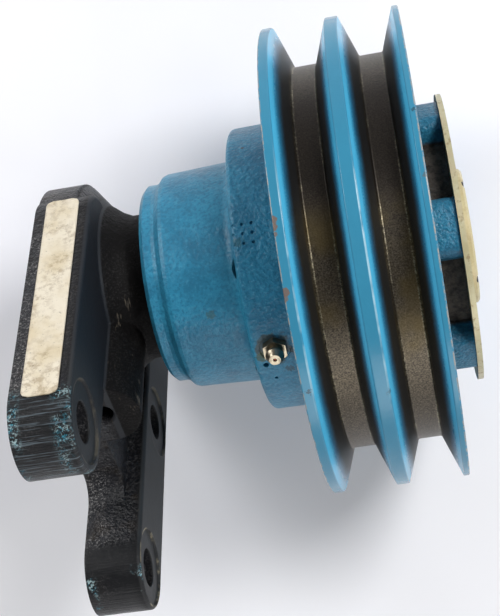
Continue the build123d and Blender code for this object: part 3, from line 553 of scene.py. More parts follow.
@dataclass(frozen=True)
class SheaveEnamel:
    """Enamel sprayed over a turned sheave, worn to bare iron where the belts ran."""

    name: str
    groove_centres: tuple[float, float]
    outer: float
    root: float
    half_bottom: float
    half_opening: float
    front: float
    rear: float
    colour: Colour = shade(44, 138, 180)
    pale: Colour = shade(62, 158, 196)
    deep: Colour = shade(36, 122, 164)
    # Duller enamel on the lands, which is partly painted shade.
    land: Colour = shade(54, 124, 150)
    # Painted light: lighter enamel at the top of the grooves' walls.
    wall_top_painted_light: Colour = shade(80, 182, 222)
    iron: Colour = shade(52, 47, 41)
    iron_pale: Colour = shade(112, 103, 88)
    # Painted shade: colour of the bare iron over the shaded stretch of height.
    iron_painted_shade: Colour = shade(40, 36, 34)
    iron_gold: Colour = shade(98, 84, 50)
    iron_wall: Colour = shade(36, 37, 38)
    # Colour of the bright lines at the grooves' corners.
    corner_bright: Colour = shade(178, 168, 140)
    # Painted glint: pale colour on each land's turn into the next groove.
    polished: Colour = shade(176, 212, 226)
    bare_edge: Colour = shade(168, 152, 132)
    # Painted shade: the stretch of height where the bare iron is painted darker.
    painted_shade_span: tuple[Span, Span] = ((-8 * MM, 26 * MM), (68 * MM, 50 * MM))
    gold_span: tuple[Span, Span] = ((-46 * MM, -30 * MM), (20 * MM, 4 * MM))
    # Painted glint: the stretch of height where the glints on the turns show.
    painted_glint_span: tuple[Span, Span] = ((-62 * MM, -30 * MM), (40 * MM, 5 * MM))
    marks: tuple[Mark, ...] = ()

    def coat(self, g: Graph, radius: Socket, inside: Socket) -> Socket:
        """Enamel: duller on the lands, which is partly painted shade, and painted lighter at the
        top of the grooves' walls as light.

        Args:
            g: The graph.
            radius: Distance from the axis.
            inside: Share between the outer faces.

        Returns:
            The enamel's colour.
        """
        coat = g.mix(g.fade(g.noise(22 * MM, 5.0, 0.6), 0.35, 0.7), self.colour, self.deep)
        coat = g.over(coat, g.fade(g.noise(6 * MM, 4.0, 0.6), 0.5, 0.85), self.pale, 0.5)
        # The lands are duller, partly as painted shade.
        land = g.fade(radius, self.outer - 0.5 * MM, self.outer - 0.1 * MM)
        coat = g.over(coat, land, self.land, 0.75)
        # Painted light: a lighter band at the top of the grooves' walls.
        painted_light = g.band(radius, (self.outer - 0.2 * MM, self.outer - 0.7 * MM),
                        (self.outer - 6.0 * MM, self.outer - 2.0 * MM))
        return g.mix(g.both(g.part(painted_light, 0.95), inside), coat, self.wall_top_painted_light)

    def worn(self, g: Graph, radius: Socket, inside: Socket) -> Socket:
        """Where the belts took the enamel, below the mist of the spray.

        Args:
            g: The graph.
            radius: Distance from the axis.
            inside: Share between the outer faces.

        Returns:
            Share of bare iron.
        """
        mist = g.sum(Sum.ADD, g.part(g.noise(12 * MM, 3.0, 0.5), 1.6 * MM),
                     g.part(g.noise(0.8 * MM, 3.0, 0.7), 3.2 * MM))
        reach = g.sum(Sum.ADD, radius, mist)
        worn = g.both(g.fade(reach, self.outer + 0.2 * MM, self.outer - 7.0 * MM), inside)
        return g.both(worn, g.fade(radius, self.root - 4.0 * MM, self.root - 2.0 * MM))

    def corners(self, g: Graph, radius: Socket, dark: Socket) -> Socket:
        """Bright, broken lines where the walls meet the grooves' bottoms, dimmed as painted shade
        over the shaded stretch.

        Args:
            g: The graph.
            radius: Distance from the axis.
            dark: Share of the stretch of height where shade is painted.

        Returns:
            Share of the lines.
        """
        lines = g.any_of(
            g.fade(g.apart(g.apart(g.x, centre), self.half_bottom), 0.75 * MM, 0.2 * MM)
            for centre in self.groove_centres
        )
        lines = g.both(lines, g.fade(radius, self.root + 1.6 * MM, self.root + 0.8 * MM))
        lines = g.both(lines, g.fade(g.noise(1.1 * MM, 5.0, 0.8), 0.44, 0.64))
        lines = g.both(lines, g.fade(g.noise(20 * MM, 3.0, 0.6), 0.4, 0.62))
        # Painted shade: the lines are dimmed over the stretch where shade is painted.
        return g.both(lines, g.level(dark, 1.0, 0.4))

    def edges(self, g: Graph, radius: Socket) -> tuple[Socket, Socket]:
        """Painted glints along each land's turn into the groove ahead, and bare outer rims.

        Args:
            g: The graph.
            radius: Distance from the axis.

        Returns:
            Share of the painted glints on the turns, and share of the bare rims.
        """
        # Painted glints on each land's turn into the groove ahead.
        turns = g.any_of(
            g.fade(g.apart(g.x, centre - self.half_opening), 0.55 * MM, 0.2 * MM)
            for centre in self.groove_centres
        )
        turns = g.both(turns, g.fade(radius, self.outer - 1.0 * MM, self.outer - 0.5 * MM))
        turns = g.both(turns, g.fade(g.noise(15 * MM, 3.0, 0.6), 0.3, 0.6))
        rim = g.fade(radius, self.outer - 0.55 * MM, self.outer - 0.15 * MM)
        front = g.both(rim, g.fade(g.x, self.front - 0.7 * MM, self.front - 0.3 * MM))
        rear = g.both(rim, g.fade(g.x, self.rear + 0.6 * MM, self.rear + 0.25 * MM))
        rims = g.both(g.either(front, rear), g.fade(g.noise(4 * MM, 5.0, 0.75), 0.4, 0.6))
        return g.both(turns, g.band(g.y, *self.painted_glint_span)), rims

    def make(self) -> Material:
        """Lay out the material.

        Returns:
            The finished material.
        """
        g = Graph(self.name)
        radius = g.radius()
        inside = g.band(g.x, (self.rear + 1.0 * MM, self.rear + 2.0 * MM),
                        (self.front - 0.9 * MM, self.front - 1.6 * MM))
        worn = self.worn(g, radius, inside)
        speck = g.noise(0.55 * MM, 4.0, 0.75)
        # Painted shade: share of the stretch of height where the grooves' iron is darkened.
        dark = g.band(g.y, *self.painted_shade_span)
        gold = g.both(g.fade(g.noise(24 * MM, 3.0), 0.38, 0.56), g.band(g.y, *self.gold_span))
        wall = g.fade(radius, self.root + 0.8 * MM, self.root + 2.6 * MM)
        corner = self.corners(g, radius, dark)
        iron = g.mix(g.fade(speck, 0.34, 0.72), self.iron, self.iron_pale)
        # Painted shade on the bare iron.
        iron = g.over(iron, dark, self.iron_painted_shade, 0.8)
        iron = g.over(iron, gold, self.iron_gold, 0.6)
        iron = g.over(iron, wall, self.iron_wall, 0.9)
        iron = g.mix(corner, iron, self.corner_bright)
        colour = g.mix(worn, self.coat(g, radius, inside), iron)
        turns, rims = self.edges(g, radius)
        # Painted glints on the lands' turns.
        colour = g.over(colour, turns, self.polished, 0.75)
        colour = g.over(colour, rims, self.bare_edge, 0.75)
        colour = g.marked(colour, self.marks)
        metal = g.either(g.part(worn, g.level(wall, 0.8, 0.45)), g.both(corner, worn))
        rings = g.noise(0.5 * MM, 3.0, 0.6, g.turned())
        peel = g.part(g.noise(1.2 * MM, 2.0, 0.5), g.outside(worn))
        height = g.sum(Sum.ADD, g.part(rings, 0.4), g.part(speck, worn))
        height = g.sum(Sum.ADD, height, g.part(peel, 1.4))
        normal = g.relief(height, 0.06 * MM, g.level(worn, 0.6, 1.0))
        rough = g.level(worn, g.level(g.noise(9 * MM, 3.0), 0.16, 0.3), 0.42)
        return g.dress(colour, rough, metal, normal, IOR=ENAMEL_IOR, Specular_IOR_Level=0.45)


@dataclass(frozen=True)
class BracketBlack:
    """Black enamel on the bracket's casting, scuffed, dusty and flecked with the hub's blue; light
    and shade are painted in places.

    A spot on the bracket is given across and along the slope of its arms.
    """

    name: str
    label_centre: Spot
    long_centre: Spot
    label_radius: float
    long_radius: float
    front: float
    spot_front: float
    spots: tuple[Spot, ...]
    spot_radius: float
    bare_shares: tuple[float, ...] = (0.2, 0.25, 1.0)
    paint: Colour = shade(15, 16, 19)
    paint_pale: Colour = shade(27, 28, 33)
    brown: Colour = shade(30, 25, 20)
    # Near-black for the neck, partly painted shade in the recess between the arms.
    neck: Colour = shade(12, 11, 11)
    face: Colour = shade(25, 29, 35)
    # Painted light: a lighter face colour towards the arms' ends.
    face_painted_light: Colour = shade(42, 44, 46)
    # Pale specks: dust, which also stands for painted glints on the grain.
    dust_and_glint: Colour = shade(164, 161, 160)
    scrape: Colour = shade(112, 104, 92)
    planed: Colour = shade(17, 18, 20)
    crest: Colour = shade(96, 108, 116)
    fleck: Colour = shade(52, 138, 160)
    fleck_pale: Colour = shade(160, 186, 190)
    bare: Colour = shade(150, 142, 122)
    gloss: float = 0.38
    gloss_sheltered: float = 0.12

    def step(self, g: Graph, spot: Spot = (0.0, 0.0)) -> tuple[Socket, Socket]:
        """Step from a spot on the bracket, across and along the slope of the arms."""
        sides = g.sum(Sum.ADD, g.y, g.z), g.sum(Sum.TAKE, g.z, g.y)
        return tuple(g.sum(Sum.TAKE, g.part(side, ROOT_HALF), at) for side, at in zip(sides, spot))

    def ribs(self, g: Graph, centre: Spot, radius: float) -> tuple[Socket, Socket]:
        """Planing lines round an arm's end, which run along the shaft.

        Args:
            g: The graph.
            centre: Middle of the arm's end.
            radius: Radius of the end.

        Returns:
            The lines' height, and the area that they cover.
        """
        side, down = self.step(g, centre)
        angle = g.sum(Sum.ANGLE, down, side)
        place = g.joined(g.part(angle, radius), g.part(g.x, 0.035), 0.0)
        lines = g.noise(0.9 * MM, 3.0, 0.7, place)
        rim = g.band(g.length(side, down), (radius - 1.6 * MM, radius - 0.6 * MM),
                     (radius + 2.2 * MM, radius + 1.2 * MM))
        return lines, g.both(rim, g.fade(down, -4.5 * MM, 1.0 * MM))

    def paintwork(self, g: Graph, inner: Socket, face: Socket) -> Socket:
        """The black itself: browned in places, darkest on the neck, partly as painted shade, and
        painted lighter towards the arms' ends as light.

        Args:
            g: The graph.
            inner: Share of the neck.
            face: Share of the arms' front faces.

        Returns:
            The paint's colour.
        """
        across, along = self.step(g)
        colour = g.mix(g.fade(g.noise(18 * MM, 5.0, 0.65), 0.35, 0.7), self.paint, self.paint_pale)
        colour = g.mix(g.fade(g.noise(9 * MM, 5.0, 0.7), 0.5, 0.72), colour, self.brown)
        # The neck is darker, partly as painted shade.
        colour = g.mix(inner, colour, self.neck)
        # Painted light: the front faces lighten towards the arms' ends.
        painted_light_area = g.either(g.fade(along, 58 * MM, 84 * MM), g.fade(across, -30 * MM, -42 * MM))
        return g.over(colour, face, g.mix(painted_light_area, self.face, self.face_painted_light), 0.85)

    def dust_and_glint_area(self, g: Graph, inner: Socket, face: Socket) -> Socket:
        """Dusting on the casting's high points, partly painted glints on its grain, and long
        scuffs.

        Args:
            g: The graph.
            inner: Share of the neck.
            face: Share of the arms' front faces.

        Returns:
            Share of the dusting and painted glints.
        """
        # Specks on the grain's high points: dust, and partly painted glints.
        dust_and_glint = g.both(g.fade(g.noise(0.75 * MM, 3.0, 0.7), 0.53, 0.6),
                      g.fade(g.noise(12 * MM, 4.0, 0.6), 0.38, 0.56))
        scuffs = g.fade(g.noise(2.2 * MM, 4.0, 0.7, g.stretched(1.0, 0.16, 0.16)), 0.66, 0.76)
        scuffs = g.both(scuffs, g.fade(g.noise(20 * MM, 3.0), 0.5, 0.62))
        # The specks gather near the back edge and thin out on the neck.
        outer = g.fade(g.x, 13 * MM, 4 * MM)
        spread = g.level(inner, g.level(outer, 0.24, 1.0), 0.07)
        return g.both(g.either(g.part(dust_and_glint, 0.75), scuffs), g.both(g.outside(face), spread))

    def flecks(self, g: Graph, planed: Socket, label_end: Socket) -> Socket:
        """Flecks of the hub's overspray along the edges of the planed ends.

        Args:
            g: The graph.
            planed: Share of both planed ends.
            label_end: Share of the label arm's end, which has more of them.

        Returns:
            Share of the flecks.
        """
        margin = g.either(g.fade(g.x, self.front - 8.0 * MM, self.front - 3.0 * MM),
                          g.fade(g.x, 4.5 * MM, 1.5 * MM))
        flecks = g.both(g.fade(g.noise(0.8 * MM, 4.0, 0.75), 0.5, 0.57), margin)
        drift = g.noise(9 * MM, 3.0)
        flecks = g.both(flecks, g.level(label_end, g.fade(drift, 0.54, 0.66),
                                        g.fade(drift, 0.36, 0.52)))
        return g.both(flecks, planed)

    def spot_walls(self, g: Graph) -> Socket:
        """Bare walls of the spot faces.

        Args:
            g: The graph.

        Returns:
            Share of the bare walls.
        """
        walls = g.any_of(
            g.part(g.fade(g.apart(g.length(*self.step(g, centre)), self.spot_radius),
                          0.7 * MM, 0.25 * MM), share)
            for centre, share in zip(self.spots, self.bare_shares)
        )
        front = g.fade(g.x, self.spot_front - 0.2 * MM, self.spot_front + 0.1 * MM)
        return g.both(g.both(walls, front), g.fade(g.noise(8 * MM, 4.0, 0.6), 0.45, 0.6))

    def make(self) -> Material:
        """Lay out the material.

        Returns:
            The finished material.
        """
        g = Graph(self.name)
        inner = g.fade(g.x, self.front - 6.0 * MM, self.front + 2.0 * MM)
        face = g.band(g.x, (self.front - 1.8 * MM, self.front - 0.9 * MM),
                      (self.front + 1.2 * MM, self.front + 0.6 * MM))
        sheltered = g.both(inner, g.outside(face))
        # Pale specks: dust, and partly painted glints on the grain.
        dust_and_glint = self.dust_and_glint_area(g, inner, face)
        colour = g.over(self.paintwork(g, inner, face), dust_and_glint, self.dust_and_glint, 0.56)
        streaks = g.noise(1.6 * MM, 3.0, 0.7, g.stretched(0.9, 0.12, 0.3))
        streaks = g.both(g.fade(streaks, 0.62, 0.7), g.fade(g.noise(15 * MM, 3.0), 0.44, 0.56))
        colour = g.over(colour, g.both(streaks, sheltered), self.scrape, 0.4)
        label_lines, label_end = self.ribs(g, self.label_centre, self.label_radius)
        long_lines, long_end = self.ribs(g, self.long_centre, self.long_radius)
        planed = g.either(label_end, long_end)
        lines = g.level(label_end, g.level(0.6, long_lines, 0.4), label_lines)
        colour = g.over(colour, planed, self.planed, 0.85)
        colour = g.over(colour, g.both(planed, g.fade(lines, 0.52, 0.62)), self.crest, 0.6)
        fleck = g.mix(g.fade(g.noise(1.6 * MM, 3.0), 0.45, 0.6), self.fleck, self.fleck_pale)
        colour = g.over(colour, self.flecks(g, planed, label_end), fleck, 0.85)
        bare = self.spot_walls(g)
        colour = g.mix(bare, colour, self.bare)
        height = g.sum(Sum.ADD, g.part(g.noise(1.5 * MM, 3.0, 0.6), 0.8),
                       g.part(g.noise(4.5 * MM, 3.0, 0.5), 0.9))
        coarse = g.level(g.either(face, planed), g.level(inner, 1.0, 0.45), 0.08)
        normal = g.relief(height, 1.1 * MM, coarse, g.soft_edges(0.9 * MM))
        normal = g.relief(lines, 0.7 * MM, planed, normal)
        rough = g.level(g.noise(6 * MM, 4.0), 0.26, 0.46)
        rough = g.level(g.either(dust_and_glint, g.either(bare, inner)), rough, 0.6)
        g.feed(g.shader.inputs["Specular IOR Level"],
               g.level(sheltered, self.gloss, self.gloss_sheltered))
        return g.dress(colour, rough, g.part(bare, 0.8), normal, IOR=ENAMEL_IOR)


@dataclass(frozen=True)
class LabelStock:
    """Blank cream label, yellowed and smudged."""

    name: str = "label_stock"
    cream: Colour = shade(218, 209, 190)
    yellowed: Colour = shade(203, 189, 160)
    smudge: Colour = shade(136, 114, 84)
    speck: Colour = shade(104, 90, 74)

    def make(self) -> Material:
        """Lay out the material.

        Returns:
            The finished material.
        """
        g = Graph(self.name)
        colour = g.mix(g.fade(g.noise(15 * MM, 4.0, 0.6), 0.4, 0.7), self.cream, self.yellowed)
        smudges = g.both(g.fade(g.noise(3.2 * MM, 5.0, 0.75), 0.44, 0.62),
                         g.fade(g.noise(18 * MM, 3.0), 0.38, 0.56))
        colour = g.over(colour, smudges, self.smudge, 0.55)
        colour = g.over(colour, g.fade(g.noise(0.9 * MM, 3.0, 0.6), 0.64, 0.7), self.speck, 0.5)
        normal = g.relief(g.noise(7 * MM, 3.0), 0.12 * MM, 0.5)
        return g.dress(colour, g.level(g.noise(8 * MM), 0.32, 0.5), 0.0, normal)


@dataclass(frozen=True)
class YellowZinc:
    """Yellow chromate over zinc, faded to straw, with brown stains near the rim."""

    name: str
    rim: float
    straw: Colour = shade(202, 193, 156)
    yellow: Colour = shade(190, 177, 136)
    bloom: Colour = shade(196, 168, 138)
    stain: Colour = shade(140, 112, 74)

    def make(self) -> Material:
        """Lay out the material.

        Returns:
            The finished material.
        """
        g = Graph(self.name)
        colour = g.mix(g.fade(g.noise(9 * MM, 5.0, 0.65), 0.35, 0.7), self.straw, self.yellow)
        colour = g.over(colour, g.fade(g.noise(14 * MM, 3.0), 0.5, 0.7), self.bloom, 0.4)
        edge = g.fade(g.radius(), self.rim - 6 * MM, self.rim)
        stain = g.both(g.fade(g.noise(3.2 * MM, 5.0, 0.75), 0.52, 0.66), g.level(edge, 0.35, 1.0))
        colour = g.over(colour, stain, self.stain, 0.7)
        normal = g.relief(g.noise(0.35 * MM, 3.0, 0.6, g.turned()), 0.012 * MM, 0.8)
        normal = g.relief(g.noise(2 * MM, 3.0), 0.03 * MM, 0.6, normal)
        rough = g.level(g.noise(5 * MM, 4.0), 0.3, 0.46)
        return g.dress(colour, g.level(stain, rough, 0.62), g.level(stain, 0.15, 0.05), normal)


@dataclass(frozen=True)
class BareMetal:
    """Turned, ground or drawn metal, with the tool's rings and a film of dirt."""

    name: str
    colour: Colour
    dirt: Colour
    rough: float
    rings: float = 0.3 * MM
    soil: float = 0.3
    metal: float = 1.0

    def make(self) -> Material:
        """Lay out the material.

        Returns:
            The finished material.
        """
        g = Graph(self.name)
        marks = g.noise(self.rings, 3.0, 0.6, g.turned())
        film = g.fade(g.noise(3 * MM, 5.0, 0.7), 0.5, 0.78)
        colour = g.mix(g.part(film, self.soil), self.colour, self.dirt)
        colour = g.over(colour, g.fade(marks, 0.5, 0.8), self.dirt, 0.2)
        normal = g.relief(marks, 0.015 * MM, 0.7)
        rough = g.level(g.sum(Sum.ADD, g.part(marks, 0.5), g.part(film, 0.5)),
                        self.rough, self.rough + 0.22)
        metal = g.level(film, self.metal, self.metal * (1 - self.soil))
        return g.dress(colour, rough, metal, normal)


@dataclass(frozen=True)
class DullStock:
    """Rubber or moulded lining: matt, with grit of another colour in it."""

    name: str
    colour: Colour
    grit: Colour
    share: float
    grain: float
    rough: float

    def make(self) -> Material:
        """Lay out the material.

        Returns:
            The finished material.
        """
        g = Graph(self.name)
        body = g.mix(g.fade(g.noise(6 * MM, 4.0), 0.3, 0.7), self.colour, self.grit)
        chips = g.fade(g.cells(self.grain), 0.3, 0.12)
        colour = g.over(g.mix(0.75, body, self.colour), chips, self.grit, self.share)
        normal = g.relief(g.noise(self.grain, 3.0), 0.05 * MM, 0.8)
        return g.dress(colour, g.level(g.noise(3 * MM), self.rough - 0.08, self.rough), 0.0, normal)


@dataclass
class Wardrobe:
    """Gives CAD nodes their finishes, and reports each."""

    nodes: dict[str, bpy.types.Object]

    def dress(self, material: bpy.types.Material, *names: str) -> None:
        """Put a finish on carried-over CAD nodes.

        Args:
            material: The finish.
            names: The nodes.
        """
        for name in names:
            mesh = self.nodes[name].data
            if not mesh.materials:
                mesh.materials.append(material)
            for index in range(len(mesh.materials)):
                mesh.materials[index] = material
            LOG.info("node %s wears %s", name, material.name)


@dataclass
class Bracket:
    """The journal bracket, its label, and the spindle that stands in it."""

    wardrobe: Wardrobe
    label_arm: Spot = (27.6 * MM, 88.4 * MM)
    long_arm_holes: tuple[Spot, ...] = ((-57.0 * MM, 20.2 * MM), (-57.0 * MM, 90.2 * MM))
    label_half: float = 16.9 * MM
    long_half: float = 15.5 * MM
    arm_thickness: float = 21.0 * MM
    spot_depth: float = 1.0 * MM
    spot_radius: float = 14.2 * MM
    label_corner: float = 2.6 * MM
    label_thick: float = 0.55 * MM
    label_lift: float = 0.12 * MM
    lift_curve: int = 6
    ripple: float = 0.03 * MM
    ripples_per_metre: float = 310.0
    ripple_turn: float = 2.1
    steps: tuple[int, int] = (120, 18)

    def build(self) -> None:
        """Dress the casting and the spindle, and build the label."""
        black = BracketBlack(
            "black_paint", self.label_arm, self.long_arm_holes[1], self.label_half,
            self.long_half, self.arm_thickness, self.arm_thickness - self.spot_depth,
            (self.label_arm, *self.long_arm_holes), self.spot_radius,
        ).make()
        self.wardrobe.dress(black, "bracket_casting")
        steel = BareMetal("ground_steel", shade(168, 168, 170), shade(96, 84, 70), 0.22).make()
        self.wardrobe.dress(steel, "spindle", "bearing_spacer", "nose_spacer")
        dark = BareMetal("screw_steel", shade(88, 88, 92), shade(52, 44, 38), 0.34,
                         soil=0.5).make()
        self.wardrobe.dress(dark, "spindle_nut", "tab_washer", "clamp_screws", "cap_screws")
        self.label()

    def label(self) -> None:
        """Build the label: a thin sheet with round corners that lifts a little at its ends."""
        low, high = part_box("label_plate")
        down = Vector((0.0, -ROOT_HALF, ROOT_HALF))
        out = Vector((0.0, ROOT_HALF, ROOT_HALF))
        corners = [Vector((0.0, y, z)) for y in (low.y, high.y) for z in (low.z, high.z)]
        height = max(min(c.dot(out) for c in corners), self.label_arm[0] + self.label_half)
        start = low.z / ROOT_HALF - height
        end = high.z / ROOT_HALF - height - self.label_thick
        half_width = (high.x - low.x) / 2
        middle = (high.x + low.x) / 2
        rows, columns = self.steps
        mesh = bmesh.new()
        grid = []
        for row in range(rows + 1):
            share = row / rows
            along = start + (end - start) * share
            run = max(self.label_corner - min(along - start, end - along), 0.0)
            pinch = self.label_corner - math.sqrt(max(self.label_corner**2 - run**2, 0.0))
            line = []
            for column in range(columns + 1):
                side = 2 * column / columns - 1
                lift = self.label_lift * abs(2 * share - 1) ** self.lift_curve
                lift *= 0.4 + 0.6 * side**2
                wave = math.sin(along * self.ripples_per_metre) * math.cos(side * self.ripple_turn)
                point = (
                    Vector((middle + side * (half_width - pinch), 0.0, 0.0)) + down * along
                    + out * (height + self.label_thick + lift + self.ripple * wave)
                )
                line.append(mesh.verts.new(point))
            grid.append(line)
        for row, below in zip(grid, grid[1:]):
            for column in range(columns):
                mesh.faces.new((row[column], row[column + 1], below[column + 1], below[column]))
        bmesh.ops.remove_doubles(mesh, verts=mesh.verts, dist=0.01 * MM)
        bmesh.ops.recalc_face_normals(mesh, faces=mesh.faces)
        if sum(face.normal.dot(out) for face in mesh.faces) < 0:
            bmesh.ops.reverse_faces(mesh, faces=mesh.faces)
        data = bpy.data.meshes.new("label_sheet")
        mesh.to_mesh(data)
        mesh.free()
        piece = placed("label_sheet", data)
        data.shade_smooth()
        body = piece.modifiers.new("gauge", "SOLIDIFY")
        body.thickness = self.label_thick
        body.offset = -1.0
        body.use_even_offset = True
        data.materials.append(LabelStock().make())
        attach(piece, "bracket")
        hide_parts("label_plate")
        LOG.info("built label_sheet")


@dataclass
class SheaveRotor:
    """The rear hub with its seal, snap ring and grease fitting, and the sheave."""

    wardrobe: Wardrobe
    groove_opening: float = 20.06 * MM
    groove_pitch: float = 24.54 * MM
    groove_bottom: float = 8.6 * MM
    groove_depth: float = 15.7 * MM
    rear_flange: float = 3.45 * MM
    ring_from: float = 73.5 * MM
    fitting_x: float = 82.1 * MM
    fitting_angle: float = -33.2

    def build(self) -> None:
        """Dress the rotor's pieces."""
        grime = shade(62, 58, 40)
        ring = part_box("hub")[1].z
        marks = (
            Mark(self.fitting_x, ring, self.fitting_angle, 6.6 * MM, grime, 0.75, 0.4),
            Mark(self.fitting_x - 5.5 * MM, ring, self.fitting_angle - 3, 2.6 * MM,
                 shade(70, 84, 48), 0.7, 0.5),
            Mark(60.5 * MM, 42.0 * MM, -20.8, 1.8 * MM, shade(66, 92, 84), 0.5, 0.7),
            Mark(80.0 * MM, 54.2 * MM, 52.1, 0.7 * MM, shade(40, 40, 40), 0.8, 0.2),
            Mark(85.5 * MM, 54.3 * MM, -44.0, 1.6 * MM, shade(46, 60, 62), 0.6, 0.8),
            Mark(76.0 * MM, 54.2 * MM, 9.0, 1.9 * MM, shade(52, 98, 108), 0.6, 0.9),
            Mark(83.0 * MM, 54.2 * MM, -40.0, 1.2 * MM, shade(50, 72, 66), 0.6, 0.9),
        )
        hub = CastEnamel(
            "blue_paint", shade(47, 130, 162), shade(86, 158, 186), shade(32, 99, 129),
            coarse_from=self.ring_from, marks=marks,
        ).make()
        self.wardrobe.dress(hub, "hub")
        low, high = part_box("sheave")
        first = low.x + self.rear_flange + self.groove_opening / 2
        primer = shade(116, 88, 66)
        chips = (
            Mark(low.x + 0.5 * MM, high.z, 7.8, 1.5 * MM, primer, 0.8, 0.25),
            Mark(low.x + 0.3 * MM, high.z, 6.2, 1.3 * MM, primer, 0.8, 0.25),
            Mark(low.x + 0.3 * MM, high.z, 4.8, 0.9 * MM, primer, 0.7, 0.25),
            Mark(low.x + 0.7 * MM, high.z, -7.2, 1.6 * MM, primer, 0.8, 0.25),
            Mark(low.x + 0.3 * MM, high.z, -8.6, 1.2 * MM, primer, 0.7, 0.25),
            Mark(low.x + 2.2 * MM, high.z, -30.0, 0.9 * MM, shade(36, 60, 74), 0.8, 0.9),
            Mark(high.x - 1.0 * MM, high.z, 27.0, 0.8 * MM, shade(40, 60, 70), 0.7, 0.8),
            Mark(high.x - 0.6 * MM, high.z, 12.0, 0.9 * MM, shade(96, 92, 84), 0.6, 0.8),
            Mark(low.x + 28.05 * MM, high.z, -33.0, 1.1 * MM, shade(52, 84, 98), 0.6, 0.9),
        )
        rim = SheaveEnamel(
            "sheave_finish", (first, first + self.groove_pitch), high.z,
            high.z - self.groove_depth, self.groove_bottom / 2, self.groove_opening / 2,
            high.x, low.x, marks=chips,
        ).make()
        self.wardrobe.dress(rim, "sheave")
        case = BareMetal("seal_case", shade(120, 120, 122), shade(70, 58, 48), 0.35).make()
        self.wardrobe.dress(case, "rear_seal_case")
        fitting = BareMetal("fitting_steel", shade(158, 148, 128), shade(66, 54, 42), 0.26,
                            0.2 * MM, 0.7).make()
        self.wardrobe.dress(fitting, "grease_fitting")
        ball = BareMetal("fitting_ball", shade(150, 84, 66), shade(92, 40, 30), 0.3).make()
        self.wardrobe.dress(ball, "grease_check_ball")


@dataclass
class FanDrive:
    """The fan hub with its plate, pilot, springs and seals."""

    wardrobe: Wardrobe
    core: float = 43.5 * MM

    def build(self) -> None:
        """Dress the drive's pieces."""
        hub = CastEnamel(
            "fan_hub_paint", shade(42, 120, 150), shade(72, 148, 176), shade(28, 82, 108),
            grain=0.9 * MM, depth=0.5 * MM, coarse_from=0.0, bare_inside=self.core + 1.6 * MM,
            bare=shade(84, 77, 69),
        ).make()
        self.wardrobe.dress(hub, "fan_hub")
        plate = YellowZinc("zinc_yellow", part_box("pilot_plate")[1].z).make()
        self.wardrobe.dress(plate, "pilot_plate", "pilot_cap")


@dataclass
class Internals:
    """The bearings, clutch, seals and springs that the castings cover."""

    wardrobe: Wardrobe

    def build(self) -> None:
        """Dress every covered piece."""
        race = BareMetal("bearing_steel", shade(196, 196, 200), shade(120, 108, 92), 0.12,
                         soil=0.15).make()
        brass = BareMetal("cage_brass", shade(196, 158, 84), shade(120, 86, 40), 0.28).make()
        for bearing in ("rear_bearing", "front_bearing", "fan_bearing"):
            self.wardrobe.dress(race, f"{bearing}_inner", f"{bearing}_outer", f"{bearing}_balls")
            self.wardrobe.dress(brass, f"{bearing}_cage")
        spring = BareMetal("spring_steel", shade(112, 114, 120), shade(60, 52, 46), 0.3,
                           soil=0.4).make()
        self.wardrobe.dress(spring, "hub_snap_ring", "nose_snap_ring", "fan_bearing_snap_ring",
                            "clutch_springs", "grease_check_spring", "drive_pins")
        iron = BareMetal("machined_iron", shade(104, 100, 96), shade(66, 54, 44), 0.42,
                         soil=0.55, metal=0.85).make()
        self.wardrobe.dress(iron, "piston", "release_ring")
        rubber = DullStock("seal_rubber", shade(24, 24, 26), shade(52, 50, 48), 0.25,
                           0.6 * MM, 0.62).make()
        self.wardrobe.dress(rubber, "rear_seal_lip", "air_seal", "release_seal", "piston_seal",
                            "cap_seal")
        lining = DullStock("lining_stock", shade(72, 56, 44), shade(166, 128, 72), 0.8,
                           1.6 * MM, 0.85).make()
        self.wardrobe.dress(lining, "friction_lining")


@dataclass(frozen=True)
class Lamp:
    """A square soft lamp that faces the object."""

    name: str
    place: Place
    width: float
    watts: float
    aim: Place = (0.08, 0.0, 0.0)

    def hang(self) -> None:
        """Put the lamp in the scene."""
        data = bpy.data.lights.new(self.name, "AREA")
        data.shape = "SQUARE"
        data.size = self.width
        data.energy = self.watts
        lamp = placed(self.name, data)
        lamp.location = self.place
        lamp.rotation_mode = "QUATERNION"
        lamp.rotation_quaternion = (Vector(self.aim) - Vector(self.place)).to_track_quat("-Z", "Y")


